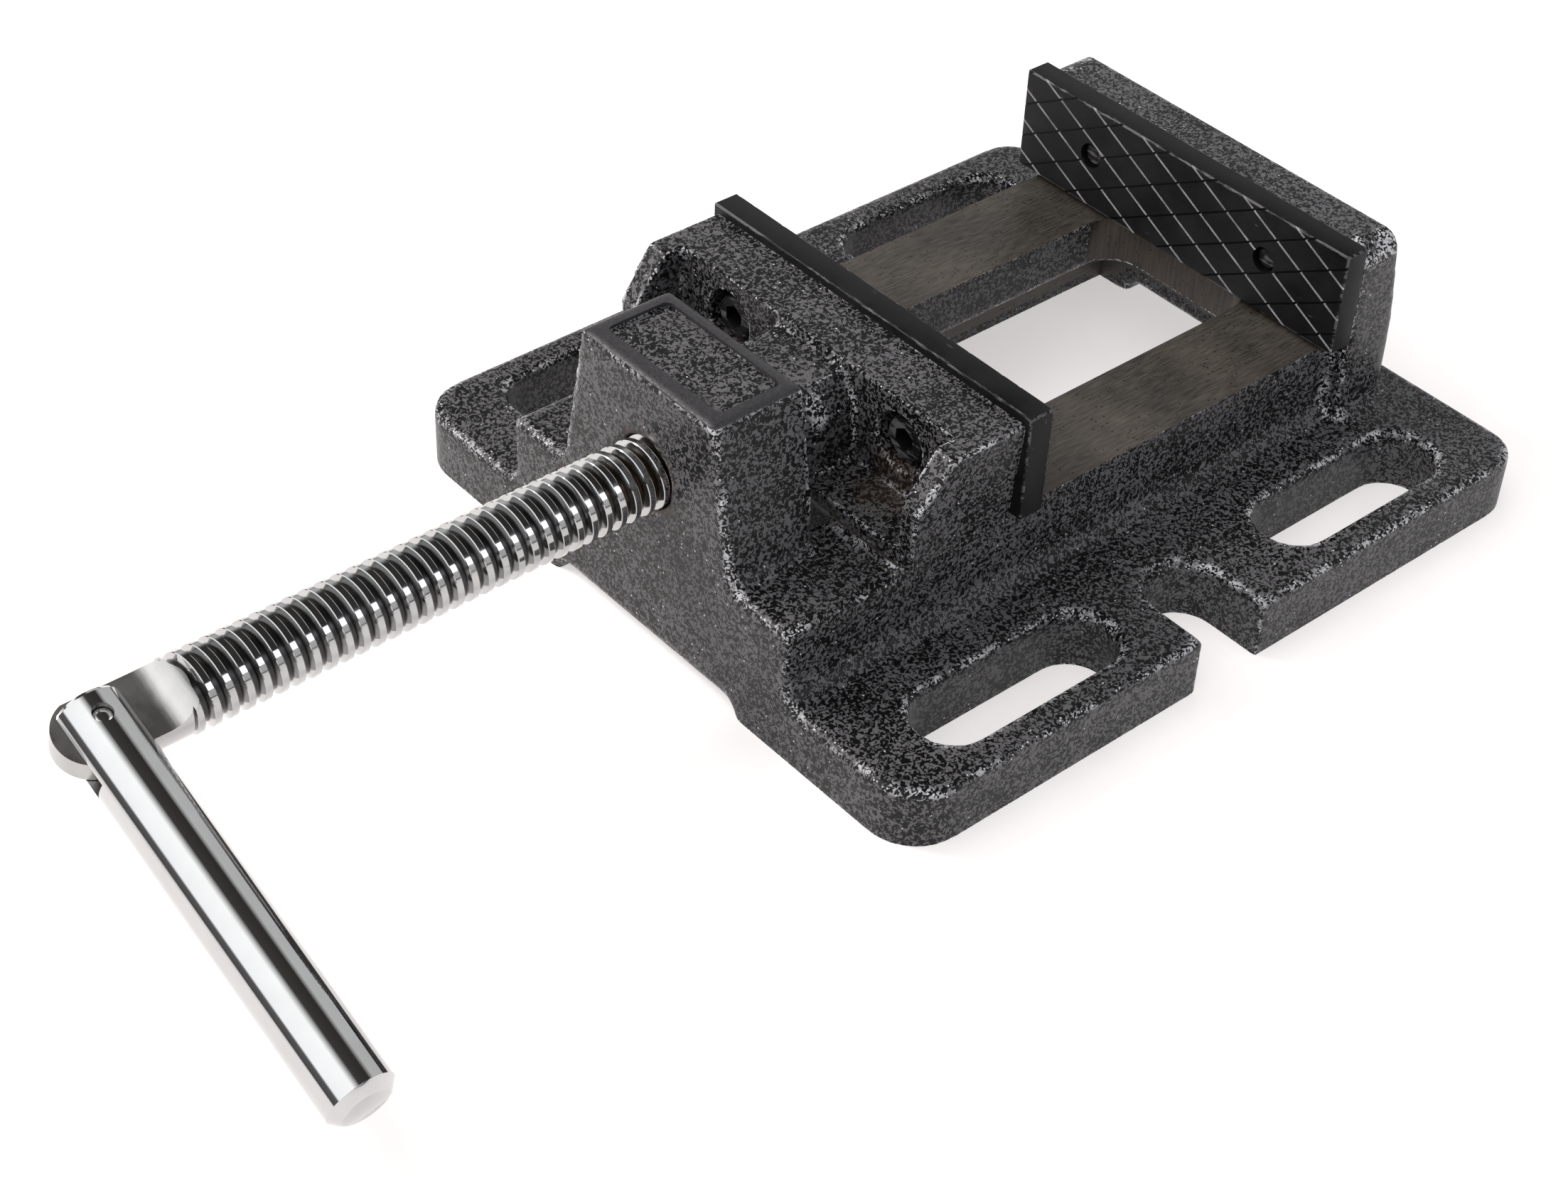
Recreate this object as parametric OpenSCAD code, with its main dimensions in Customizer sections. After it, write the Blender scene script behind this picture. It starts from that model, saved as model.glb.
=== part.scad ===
// Low-profile machine vise: a slotted cast base with an integral fixed jaw and nut boss,
// a sliding jaw held down by a keeper plate, and a lead screw with a folding bar handle.
// X runs along the screw towards the fixed jaw, Z is up, and the origin is on the table,
// at the centre of the four table slots. The sliding jaw is drawn fully open.

/* [Base] */
// Length of the base along the screw
base_length = 188; // [170:1:240]
// Width of the base across the flanges
base_width = 168; // [145:1:215]
// Thickness of the flanges
flange_height = 14.5; // [9:0.5:20]
// Radius of the front corners of the flange in plan
front_corner_r = 12; // [4:0.5:18]
// Radius of the rear corners of the flange in plan
rear_corner_r = 9; // [4:0.5:18]
// Width of the raised body across its outer walls
body_width = 90.4; // [80:0.2:108]
// Height of the ground ways above the table
way_height = 34; // [30:0.5:42]
// How far the ground ways start behind the open sliding jaw
way_lead = 0.6; // [0.2:0.1:1]
// Thickness of the ways above the keeper recess
way_thickness = 12.6; // [8:0.2:16]
// Height of the cast shoulders beside the nut boss
shoulder_height = 32.4; // [28:0.2:33.5]
// Thickness of the front wall ahead of the keeper recess
front_wall = 16; // [10:0.5:20]
// Thickness of the rear wall behind the keeper recess
rear_wall = 11; // [6:0.5:18]
// Thickness of the side walls beside the keeper recess
side_wall = 6.2; // [4:0.2:10]
// Height of the relief under the middle of the base
relief_height = 3.4; // [1:0.2:5]
// Width of the relief at its roof
relief_width = 56; // [30:1:64]
// How far each side of the relief splays out at the table
relief_splay = 3.4; // [0:0.2:5]

/* [Channel between the ways] */
// Width of the channel
channel_width = 44.6; // [36:0.2:52]
// Radius of the channel's corners in plan
channel_corner_r = 8.5; // [3:0.5:12]

/* [Table slots] */
// Width of each table slot
slot_width = 17.6; // [10:0.2:19]
// Length of each table slot over its round ends
slot_length = 53; // [30:1:60]
// Distance of each slot's centre from the end of the base
slot_inset_x = 43; // [38:0.5:50]
// Distance of each slot's centre line from the edge of the flange
slot_inset_y = 16.2; // [13:0.2:20]
// Width of the open notch in each flange
notch_width = 18.4; // [10:0.2:22]
// Depth of the open notch from the edge of the flange
notch_depth = 22.6; // [16:0.2:28]
// Place of the notches along the base
notch_x = -3; // [-5:0.5:5]

/* [Nut boss] */
// Length of the boss along the screw
boss_length = 23.3; // [18:0.1:30]
// Height of the top of the boss above the table
boss_height = 69.2; // [62:0.2:80]
// Width of the boss at its top
boss_top_width = 42.4; // [34:0.2:50]
// Width of the boss at the shoulders
boss_foot_width = 55.6; // [50:0.2:64]
// Radius of the boss's rear corners in plan
boss_corner_r = 4; // [1:0.5:8]
// Width of the raised rim round the top panel
rim_width = 3.2; // [2:0.2:6]
// Depth of the top panel below its rim
panel_depth = 1; // [0.4:0.1:2]

/* [Jaw plates] */
// Width of the jaw plates
plate_width = 100; // [90:1:120]
// Height of the jaw plates
plate_height = 25.7; // [20:0.1:32]
// Thickness of the jaw plates
plate_thickness = 6.5; // [5:0.1:9]
// Gap between a jaw plate and the ways
plate_lift = 1.8; // [0.5:0.1:3]
// Spacing of the two screws of each plate
plate_screw_spacing = 54.6; // [46:0.2:60]
// Height of the plate screws above the plate's lower edge
plate_screw_height = 13.2; // [11:0.1:15]

/* [Fixed jaw] */
// Distance of the fixed clamping face from the rear of the base
jaw_setback = 33.5; // [30:0.5:42]
// Width of the fixed jaw
fixed_jaw_width = 100; // [90:0.5:120]
// Thickness of the fixed jaw at its top
fixed_jaw_top = 11; // [9:0.5:14]
// Thickness of the fixed jaw at the flange
fixed_jaw_foot = 19; // [15:0.5:24]
// How far the fixed casting's top stays below the plate's top
fixed_jaw_drop = 0.4; // [0:0.1:2]
// Radius of the fixed jaw's rear corners in plan
fixed_jaw_corner_r = 7; // [2:0.5:10]

/* [Sliding jaw] */
// Length of the sliding jaw casting on the ways
jaw_length = 27.5; // [24:0.5:36]
// Thickness of the block behind the plate
jaw_block = 14.2; // [12.5:0.1:18]
// How far the sliding casting's top stays below the plate's top
jaw_drop = 2; // [0:0.1:4]
// Width of the sliding casting at its top
jaw_casting_width = 97.6; // [88:0.2:118]
// Width of the sliding casting where it meets the ways
jaw_foot_width = 92.6; // [86:0.2:112]
// Thickness of the outer ears
ear_thickness = 6; // [4:0.2:9]
// Length of the ears' flat top behind the block
ear_top = 5; // [2:0.2:9]
// Height of the ears' sloping rear corner
ear_slope = 10.5; // [5:0.5:14]
// Floor of the screw pockets above the ways
pocket_floor = 3.2; // [2:0.2:5]
// Width of the top of the middle bridge
bridge_top_width = 20; // [16:0.5:24]
// Width of the middle bridge at the pocket floor
bridge_width = 28; // [24:0.5:34]
// How far the bridge's top stays below the casting's top
bridge_drop = 2; // [0.5:0.1:4]
// Height of the bridge's bevelled shoulders
bridge_bevel = 7.5; // [3:0.5:10]
// How far the bridge stands out behind the ears
bridge_overhang = 3.8; // [2:0.2:6]
// Gap between the bridge and the nut boss when fully open
open_gap = 4; // [3:0.2:8]
// Gap left between the plates when fully closed
closed_gap = 0.3; // [0.1:0.1:1]

/* [Keeper] */
// Thickness of the keeper plate
keeper_thickness = 6; // [4:0.5:8]
// Running gap between the keeper and the sides of its recess
keeper_side_gap = 1.5; // [0.5:0.1:4]
// Spacing of the two keeper bolts
keeper_bolt_spacing = 12; // [11:0.5:16]
// Outer diameter of the spring washers
washer_d = 11; // [9:0.5:12]
// Thickness of the spring washers
washer_thickness = 1.6; // [1:0.1:2.5]
// Gap of the split in each spring washer
washer_split = 1; // [0.5:0.1:2]
// Width across the flats of the keeper bolt heads
bolt_flats = 10; // [8:0.5:11]
// Height of the keeper bolt heads
bolt_head = 4; // [3:0.2:6]
// Length of the keeper bolts under the head
bolt_length = 20; // [16:1:20]

/* [Cap screws] */
// Thread diameter of the cap screws and keeper bolts
thread_d = 6; // [5:0.5:6]
// Head diameter of the cap screws
cap_head_d = 10; // [8:0.5:11]
// Head height of the cap screws
cap_head = 6; // [4:0.5:6]
// Width across the flats of the hexagon sockets
socket_flats = 5; // [3:0.5:5]
// Depth of the hexagon sockets
socket_depth = 3; // [2:0.5:4]
// Length of the cap screws under the head
cap_length = 12; // [11:0.5:12.5]
// Diameter of the counterbores
counterbore_d = 13.6; // [12:0.2:15]
// Thickness of casting between a screw's seat and the plate
seat_thickness = 6.7; // [6:0.1:8]

/* [Lead screw] */
// Height of the screw's axis above the table
screw_height = 45.4; // [44:0.2:52]
// Outside diameter of the thread
screw_d = 16; // [14:0.2:18]
// Depth of the thread
thread_depth = 1.6; // [1:0.1:2]
// Pitch of the thread
screw_pitch = 3.6; // [3:0.1:5]
// Width of the thread's crest as a share of the pitch
crest_share = 0.42; // [0.3:0.02:0.5]
// Width of the thread's root as a share of the pitch
root_share = 0.34; // [0.2:0.02:0.45]
// Thread left outside the boss when the jaws are closed
screw_reserve = 20; // [16:0.5:35]
// Diameter of the plain nose
nose_d = 12; // [9:0.2:12]
// Length of the plain nose
nose_length = 26; // [18:0.5:27]
// Chamfer at the end of the nose
nose_chamfer = 1; // [0.4:0.1:2]
// Depth of the retaining groove in the nose
groove_depth = 1.6; // [1:0.1:2]
// Width of the retaining groove
groove_width = 4.3; // [3:0.1:5]
// Distance of the groove's middle from the thrust face
groove_place = 11; // [8:0.5:14]
// Diameter of the retaining pins
nose_pin_d = 4; // [3:0.1:4]
// Length of the retaining pins
nose_pin_length = 16; // [13:0.5:17]
// Outer diameter of the thrust washer
thrust_washer_d = 19; // [17:0.5:20]
// Thickness of the thrust washer
thrust_washer_thickness = 1.6; // [1:0.1:2]

/* [Handle] */
// Diameter of the handle bar
handle_d = 14; // [10:0.5:16]
// Length of the handle from the pin to its free end
handle_reach = 86.4; // [70:1:120]
// Length of the fork's cheeks past the pin
fork_cheek = 5.6; // [5:0.2:10]
// Depth of the fork's slot below the pin
fork_depth = 11; // [10:0.2:14]
// Chamfer at the handle's ends
handle_chamfer = 2; // [0.5:0.1:3]
// Diameter of the handle pin
handle_pin_d = 4; // [3:0.2:5]
// How far each end of the handle pin stays below the bar's surface
handle_pin_recess = 1.2; // [0.2:0.1:2]
// Width of the screw's tongue
tongue_width = 15.2; // [12:0.2:15.2]
// Thickness of the screw's tongue
tongue_thickness = 5; // [4:0.2:6]
// Length of the tongue past the pin
tongue_end = 9.4; // [7.6:0.2:10]
// Length of the plain shank between thread and handle
shank_length = 8.3; // [7:0.5:14]
// Radius of the cutter that leaves the tongue's flats
cutter_r = 9; // [6:0.5:14]
// Angle of the handle below the horizontal
handle_angle = 18; // [0:1:30]

/* [Fits] */
// Running clearance on the radius of the screw and its nose
running_clearance = 0.1; // [0.05:0.01:0.15]
// Running clearance of the sliding jaw in the channel and under the ways
slide_clearance = 0.15; // [0.1:0.01:0.3]
// Clearance on the radius of screws and bolts in their holes
bolt_clearance = 0.3; // [0.1:0.05:0.5]
// Clearance on the radius of tapped holes and pin holes
tapped_clearance = 0.03; // [0.01:0.01:0.1]
// Clearance of the fork on each side of the tongue
fork_clearance = 0.25; // [0.1:0.05:0.5]

/* [Hidden] */
$fn = 64;

cut = 1;
iron = "#3a393b";
oxide = "#262527";
bright = "#b4b3b0";
steel = "#8d8b86";

// Places along the screw
front_x = -base_length / 2;
rear_x = base_length / 2;
boss_rear_x = front_x + boss_length;
fixed_face_x = rear_x - jaw_setback;
fixed_mount_x = fixed_face_x + plate_thickness;
bridge_rear_x = boss_rear_x + open_gap;
jaw_rear_x = bridge_rear_x + bridge_overhang;
jaw_front_x = jaw_rear_x + jaw_length;
moving_face_x = jaw_front_x + plate_thickness;
jaw_opening = fixed_face_x - moving_face_x;
travel = jaw_opening - closed_gap;
pocket_wall_x = jaw_front_x - jaw_block;
way_start_x = jaw_rear_x - way_lead;
thread_end_x = front_x - travel - screw_reserve;
thrust_x = bridge_rear_x - thrust_washer_thickness;
pin_x = thread_end_x - shank_length - handle_d / 2;

// Heights
way_bottom = way_height - way_thickness;
plate_bottom = way_height + plate_lift;
plate_top = plate_bottom + plate_height;
plate_screw_z = plate_bottom + plate_screw_height;
fixed_top = plate_top - fixed_jaw_drop;
jaw_top = plate_top - jaw_drop;
bridge_top = jaw_top - bridge_drop;
tenon_bottom = way_bottom - slide_clearance;
washer_top = tenon_bottom - keeper_thickness;
bolt_seat = washer_top - washer_thickness;

// Widths and the places of fasteners
recess_width = body_width - 2 * side_wall;
tenon_width = channel_width - 2 * slide_clearance;
tenon_margin = 1;
keeper_mid_x = (jaw_rear_x + jaw_front_x) / 2;
groove_x = thrust_x + groove_place;
nose_pin_y = nose_d / 2 - groove_depth + running_clearance + nose_pin_d / 2;
nose_pin_z = screw_height - nose_pin_length / 2;
slot_x = base_length / 2 - slot_inset_x;
slot_y = base_width / 2 - slot_inset_y;

// Extrudes a profile drawn in Y and Z along the screw
module along_x(x0, length) {
    translate([x0, 0, 0]) rotate([90, 0, 90]) linear_extrude(length) children();
}

// Extrudes a profile drawn in X and Z across the vise
module across(width) {
    translate([0, width / 2, 0]) rotate([90, 0, 0]) linear_extrude(width) children();
}

// A round bar along X between two places
module bar_x(x0, x1, y, z, r) {
    translate([x0, y, z]) rotate([0, 90, 0]) cylinder(h = x1 - x0, r = r);
}

// A plan outline with one radius at its front corners and one at its rear corners
module plan(x0, x1, width, front_r, rear_r) {
    translate([x0 + front_r, -width / 2]) square([x1 - x0 - front_r - rear_r, width]);
    translate([x0, front_r - width / 2]) square([front_r, width - 2 * front_r]);
    translate([x1 - rear_r, rear_r - width / 2]) square([rear_r, width - 2 * rear_r]);
    for (side = [-1, 1]) {
        translate([x0 + front_r, side * (width / 2 - front_r)]) circle(front_r);
        translate([x1 - rear_r, side * (width / 2 - rear_r)]) circle(rear_r);
    }
}

// A plan outline with square front corners and rounded rear corners
module plan_rear(x0, x1, width, rear_r) {
    translate([x0, -width / 2]) square([x1 - x0 - rear_r, width]);
    translate([x1 - rear_r, rear_r - width / 2]) square([rear_r, width - 2 * rear_r]);
    for (side = [-1, 1]) {
        translate([x1 - rear_r, side * (width / 2 - rear_r)]) circle(rear_r);
    }
}

module slot_outline() {
    straight = slot_length - slot_width;
    square([straight, slot_width], center = true);
    for (side = [-1, 1]) {
        translate([side * straight / 2, 0]) circle(slot_width / 2);
    }
}

module notch_outline(side) {
    end_y = base_width / 2 - notch_depth + notch_width / 2;
    run = notch_depth - notch_width / 2 + cut;
    translate([notch_x, side * end_y]) circle(notch_width / 2);
    translate([notch_x, side * (end_y + run / 2)]) square([notch_width, run], center = true);
}

module flange() {
    linear_extrude(flange_height) {
        difference() {
            plan(front_x, rear_x, base_width, front_corner_r, rear_corner_r);
            for (side_x = [-1, 1], side_y = [-1, 1]) {
                translate([side_x * slot_x, side_y * slot_y]) slot_outline();
            }
            for (side = [-1, 1]) {
                notch_outline(side);
            }
        }
    }
}

module nut_boss() {
    intersection() {
        along_x(front_x, boss_length) {
            polygon([
                [-boss_foot_width / 2, shoulder_height - cut],
                [boss_foot_width / 2, shoulder_height - cut],
                [boss_foot_width / 2, shoulder_height],
                [boss_top_width / 2, boss_height],
                [-boss_top_width / 2, boss_height],
                [-boss_foot_width / 2, shoulder_height]
            ]);
        }
        linear_extrude(boss_height + cut) {
            plan_rear(front_x, boss_rear_x, boss_foot_width, boss_corner_r);
        }
    }
}

module fixed_jaw_block() {
    foot_x = fixed_mount_x + fixed_jaw_foot;
    intersection() {
        across(fixed_jaw_width) {
            polygon([
                [fixed_mount_x, 0],
                [foot_x, 0],
                [foot_x, flange_height],
                [fixed_mount_x + fixed_jaw_top, fixed_top],
                [fixed_mount_x, fixed_top]
            ]);
        }
        linear_extrude(fixed_top + cut) {
            plan_rear(fixed_mount_x, foot_x, fixed_jaw_width, fixed_jaw_corner_r);
        }
    }
}

module base_casting() {
    body_length = fixed_mount_x - front_x;
    boss_panel = boss_length - 2 * rim_width;
    boss_panel_width = boss_top_width - 2 * rim_width;
    color(iron) difference() {
        union() {
            flange();
            translate([front_x, -body_width / 2, 0]) {
                cube([body_length, body_width, shoulder_height]);
            }
            translate([way_start_x, -body_width / 2, 0]) {
                cube([fixed_mount_x - way_start_x, body_width, way_height]);
            }
            nut_boss();
            fixed_jaw_block();
        }
        // Channel between the ways
        translate([0, 0, way_bottom - cut]) linear_extrude(way_thickness + 2 * cut) {
            plan(boss_rear_x, fixed_mount_x, channel_width, channel_corner_r, channel_corner_r);
        }
        // Keeper recess, open below
        translate([front_x + front_wall, -recess_width / 2, -cut]) {
            cube([base_length - front_wall - rear_wall, recess_width, way_bottom + cut]);
        }
        // Relief under the middle of the base
        along_x(front_x - cut, base_length + 2 * cut) {
            polygon([
                [-relief_width / 2 - relief_splay, -cut],
                [relief_width / 2 + relief_splay, -cut],
                [relief_width / 2 + relief_splay, 0],
                [relief_width / 2, relief_height],
                [-relief_width / 2, relief_height],
                [-relief_width / 2 - relief_splay, 0]
            ]);
        }
        // Top panel of the nut boss
        translate([front_x + rim_width, -boss_panel_width / 2, boss_height - panel_depth]) {
            cube([boss_panel, boss_panel_width, panel_depth + cut]);
        }
        // Nut bore
        bar_x(front_x - cut, boss_rear_x + cut, 0, screw_height, screw_d / 2 + running_clearance);
        // Plate screw holes and their counterbores from the rear
        for (side = [-1, 1]) {
            y = side * plate_screw_spacing / 2;
            bar_x(fixed_mount_x - cut, rear_x, y, plate_screw_z, thread_d / 2 + bolt_clearance);
            bar_x(fixed_mount_x + seat_thickness, rear_x, y, plate_screw_z, counterbore_d / 2);
        }
    }
}

// A jaw plate with its two tapped holes, from its rear face forwards
module jaw_plate(x0) {
    color(oxide) difference() {
        translate([x0, -plate_width / 2, plate_bottom]) {
            cube([plate_thickness, plate_width, plate_height]);
        }
        for (side = [-1, 1]) {
            bar_x(x0 - cut, x0 + plate_thickness + cut, side * plate_screw_spacing / 2,
                  plate_screw_z, thread_d / 2 + tapped_clearance);
        }
    }
}

// A cap screw whose head sits at seat_x and whose thread points along direction
module cap_screw(seat_x, side, direction) {
    color(oxide) translate([seat_x, side * plate_screw_spacing / 2, plate_screw_z]) {
        rotate([0, direction * 90, 0]) difference() {
            union() {
                cylinder(h = cap_length, d = thread_d);
                translate([0, 0, -cap_head]) cylinder(h = cap_head, d = cap_head_d);
            }
            translate([0, 0, -cap_head - cut]) {
                cylinder(h = socket_depth + cut, d = socket_flats / cos(30), $fn = 6);
            }
        }
    }
}

// The middle bridge over the screw's nose, as a profile in Y and Z
module bridge_profile() {
    shoulder = bridge_top - bridge_bevel;
    polygon([
        [-bridge_width / 2, way_height],
        [bridge_width / 2, way_height],
        [bridge_width / 2, shoulder],
        [bridge_top_width / 2, bridge_top],
        [-bridge_top_width / 2, bridge_top],
        [-bridge_width / 2, shoulder]
    ]);
}

module jaw_shell() {
    intersection() {
        along_x(jaw_rear_x, jaw_length) {
            polygon([
                [-jaw_foot_width / 2, way_height],
                [jaw_foot_width / 2, way_height],
                [jaw_casting_width / 2, jaw_top],
                [-jaw_casting_width / 2, jaw_top]
            ]);
        }
        across(jaw_casting_width) {
            polygon([
                [jaw_rear_x, way_height],
                [jaw_front_x, way_height],
                [jaw_front_x, jaw_top],
                [pocket_wall_x - ear_top, jaw_top],
                [jaw_rear_x, jaw_top - ear_slope]
            ]);
        }
    }
}

module moving_jaw() {
    pocket_width = jaw_casting_width - 2 * ear_thickness;
    pocket_base = way_height + pocket_floor;
    seat_x = jaw_front_x - seat_thickness;
    color(iron) difference() {
        union() {
            difference() {
                jaw_shell();
                translate([jaw_rear_x - cut, -pocket_width / 2, pocket_base]) {
                    cube([pocket_wall_x - jaw_rear_x + cut, pocket_width, plate_top - pocket_base]);
                }
            }
            along_x(bridge_rear_x, pocket_wall_x - bridge_rear_x) bridge_profile();
            translate([jaw_rear_x + tenon_margin, -tenon_width / 2, tenon_bottom]) {
                cube([jaw_length - 2 * tenon_margin, tenon_width, way_height + cut - tenon_bottom]);
            }
        }
        // Bore for the screw's nose
        bar_x(bridge_rear_x - cut, thrust_x + nose_length + cut, 0, screw_height,
              nose_d / 2 + running_clearance);
        // Plate screw holes and their counterbores from the pockets
        for (side = [-1, 1]) {
            y = side * plate_screw_spacing / 2;
            bar_x(seat_x - cut, jaw_front_x + cut, y, plate_screw_z, thread_d / 2 + bolt_clearance);
            bar_x(pocket_wall_x - cut, seat_x, y, plate_screw_z, counterbore_d / 2);
        }
        // Holes for the retaining pins, drilled from below
        for (side = [-1, 1]) {
            translate([groove_x, side * nose_pin_y, tenon_bottom - cut]) {
                cylinder(h = nose_pin_z + nose_pin_length - tenon_bottom + cut,
                         r = nose_pin_d / 2 + tapped_clearance);
            }
        }
        // Tapped holes for the keeper bolts
        for (side = [-1, 1]) {
            translate([keeper_mid_x + side * keeper_bolt_spacing / 2, 0, tenon_bottom - cut]) {
                cylinder(h = bolt_seat + bolt_length - tenon_bottom + 2 * cut,
                         r = thread_d / 2 + tapped_clearance);
            }
        }
    }
}

module keeper_plate() {
    width = recess_width - 2 * keeper_side_gap;
    color(steel) difference() {
        translate([jaw_rear_x + tenon_margin, -width / 2, washer_top]) {
            cube([jaw_length - 2 * tenon_margin, width, keeper_thickness]);
        }
        for (side = [-1, 1]) {
            translate([keeper_mid_x + side * keeper_bolt_spacing / 2, 0, washer_top - cut]) {
                cylinder(h = keeper_thickness + 2 * cut, r = thread_d / 2 + bolt_clearance);
            }
        }
    }
}

module keeper_bolt(side) {
    color(steel) translate([keeper_mid_x + side * keeper_bolt_spacing / 2, 0, bolt_seat]) {
        cylinder(h = bolt_length, d = thread_d);
        translate([0, 0, -bolt_head]) {
            cylinder(h = bolt_head, d = bolt_flats / cos(30), $fn = 6);
        }
    }
}

module keeper_washer(side) {
    color(steel) translate([keeper_mid_x + side * keeper_bolt_spacing / 2, 0, bolt_seat]) {
        difference() {
            cylinder(h = washer_thickness, d = washer_d);
            translate([0, 0, -cut]) {
                cylinder(h = washer_thickness + 2 * cut, r = thread_d / 2 + bolt_clearance);
            }
            translate([-washer_split / 2, 0, -cut]) {
                cube([washer_split, washer_d, washer_thickness + 2 * cut]);
            }
        }
    }
}

module nose_pin(side) {
    color(steel) translate([groove_x, side * nose_pin_y, nose_pin_z]) {
        cylinder(h = nose_pin_length, d = nose_pin_d);
    }
}

module thrust_washer() {
    color(steel) difference() {
        bar_x(thrust_x, bridge_rear_x, 0, screw_height, thrust_washer_d / 2);
        bar_x(thrust_x - cut, bridge_rear_x + cut, 0, screw_height, nose_d / 2 + running_clearance);
    }
}

// Radius and place along the screw of one thread ridge that starts at x0
function ridge(x0) = let (
        flank = screw_pitch * (1 - crest_share - root_share) / 2,
        root = screw_pitch * root_share,
        crest = screw_pitch * crest_share,
        low = screw_d / 2 - thread_depth,
        high = screw_d / 2
    ) [
        [low, x0 + root / 2],
        [high, x0 + root / 2 + flank],
        [high, x0 + root / 2 + flank + crest],
        [low, x0 + screw_pitch - root / 2]
    ];

module screw_profile() {
    length = thrust_x - thread_end_x;
    turns = floor(length / screw_pitch);
    low = screw_d / 2 - thread_depth;
    tongue_x = pin_x - tongue_end - thread_end_x;
    ridges = [for (turn = [0 : turns - 1], point = ridge(turn * screw_pitch)) point];
    groove_0 = length + groove_place - groove_width / 2;
    nose_end = length + nose_length;
    polygon(concat(
        [[0, tongue_x], [tongue_width / 2, tongue_x], [tongue_width / 2, 0], [low, 0]],
        ridges,
        [
            [low, length], [nose_d / 2, length],
            [nose_d / 2, groove_0], [nose_d / 2 - groove_depth, groove_0],
            [nose_d / 2 - groove_depth, groove_0 + groove_width],
            [nose_d / 2, groove_0 + groove_width],
            [nose_d / 2, nose_end - nose_chamfer], [nose_d / 2 - nose_chamfer, nose_end],
            [0, nose_end]
        ]
    ));
}

// Turns what stands level on the screw's axis to the angle of the handle
module on_handle() {
    translate([0, 0, screw_height]) rotate([handle_angle, 0, 0]) children();
}

module lead_screw() {
    flat_end = pin_x + tongue_width / 2 + 2 * cut;
    end_r = tongue_width / 2;
    side_cut = screw_d - tongue_thickness / 2;
    color(bright) on_handle() difference() {
        translate([thread_end_x, 0, 0]) rotate([0, 90, 0]) rotate_extrude() screw_profile();
        // Flats of the tongue, each with the round run-out of its cutter
        for (side = [-1, 1]) {
            translate([0, 0, side * (tongue_thickness / 2 + cutter_r)]) {
                rotate([90, 0, 0]) translate([flat_end, 0, -screw_d]) {
                    cylinder(h = 2 * screw_d, r = cutter_r);
                }
            }
            translate([
                pin_x - 2 * tongue_end,
                -screw_d,
                side > 0 ? tongue_thickness / 2 : -tongue_thickness / 2 - side_cut
            ]) {
                cube([flat_end - pin_x + 2 * tongue_end, 2 * screw_d, side_cut]);
            }
        }
        // Round end of the tongue
        difference() {
            translate([pin_x - 2 * tongue_end, -screw_d, -tongue_thickness]) {
                cube([tongue_end + end_r, 2 * screw_d, 2 * tongue_thickness]);
            }
            translate([pin_x - tongue_end + end_r, 0, -2 * tongue_thickness]) {
                cylinder(h = 4 * tongue_thickness, r = end_r);
            }
        }
        translate([pin_x, 0, -screw_d]) {
            cylinder(h = 2 * screw_d, r = handle_pin_d / 2 + running_clearance);
        }
    }
}

module handle() {
    slot = tongue_thickness + 2 * fork_clearance;
    length = fork_cheek + handle_reach;
    radius = handle_d / 2;
    small = handle_chamfer / 4;
    color(bright) on_handle() translate([pin_x, 0, 0]) difference() {
        translate([0, fork_cheek, 0]) rotate([90, 0, 0]) rotate_extrude() {
            polygon([
                [0, 0], [radius - small, 0], [radius, small],
                [radius, length - handle_chamfer], [radius - handle_chamfer, length], [0, length]
            ]);
        }
        translate([-handle_d, -fork_depth, -slot / 2]) {
            cube([2 * handle_d, fork_depth + fork_cheek + cut, slot]);
        }
        translate([0, 0, -handle_d]) {
            cylinder(h = 2 * handle_d, r = handle_pin_d / 2 + tapped_clearance);
        }
    }
}

module handle_pin() {
    length = handle_d - 2 * handle_pin_recess;
    color(bright) on_handle() translate([pin_x, 0, -length / 2]) {
        cylinder(h = length, d = handle_pin_d);
    }
}

base_casting();
jaw_plate(fixed_face_x);  // fixed_jaw_plate
cap_screw(fixed_mount_x + seat_thickness, 1, -1);  // fixed_jaw_screw_left
cap_screw(fixed_mount_x + seat_thickness, -1, -1);  // fixed_jaw_screw_right
moving_jaw();
jaw_plate(jaw_front_x);  // moving_jaw_plate
cap_screw(jaw_front_x - seat_thickness, 1, 1);  // moving_jaw_screw_left
cap_screw(jaw_front_x - seat_thickness, -1, 1);  // moving_jaw_screw_right
keeper_plate();
keeper_bolt(-1);  // keeper_bolt_front
keeper_bolt(1);  // keeper_bolt_rear
keeper_washer(-1);  // keeper_washer_front
keeper_washer(1);  // keeper_washer_rear
nose_pin(1);  // nose_pin_left
nose_pin(-1);  // nose_pin_right
thrust_washer();
lead_screw();
handle();
handle_pin();
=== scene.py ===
"""Looks of a low machine vise: speckled castings, ground ways, grooved plates, chromed screw."""

import logging
import math
from dataclasses import dataclass
from enum import Enum
from typing import Any, Iterable

import bmesh
import bpy
from bmesh.types import BMEdge, BMesh
from bpy.types import Material, Node, NodeSocket, NodeTree, Object
from mathutils import Matrix, Vector


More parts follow.
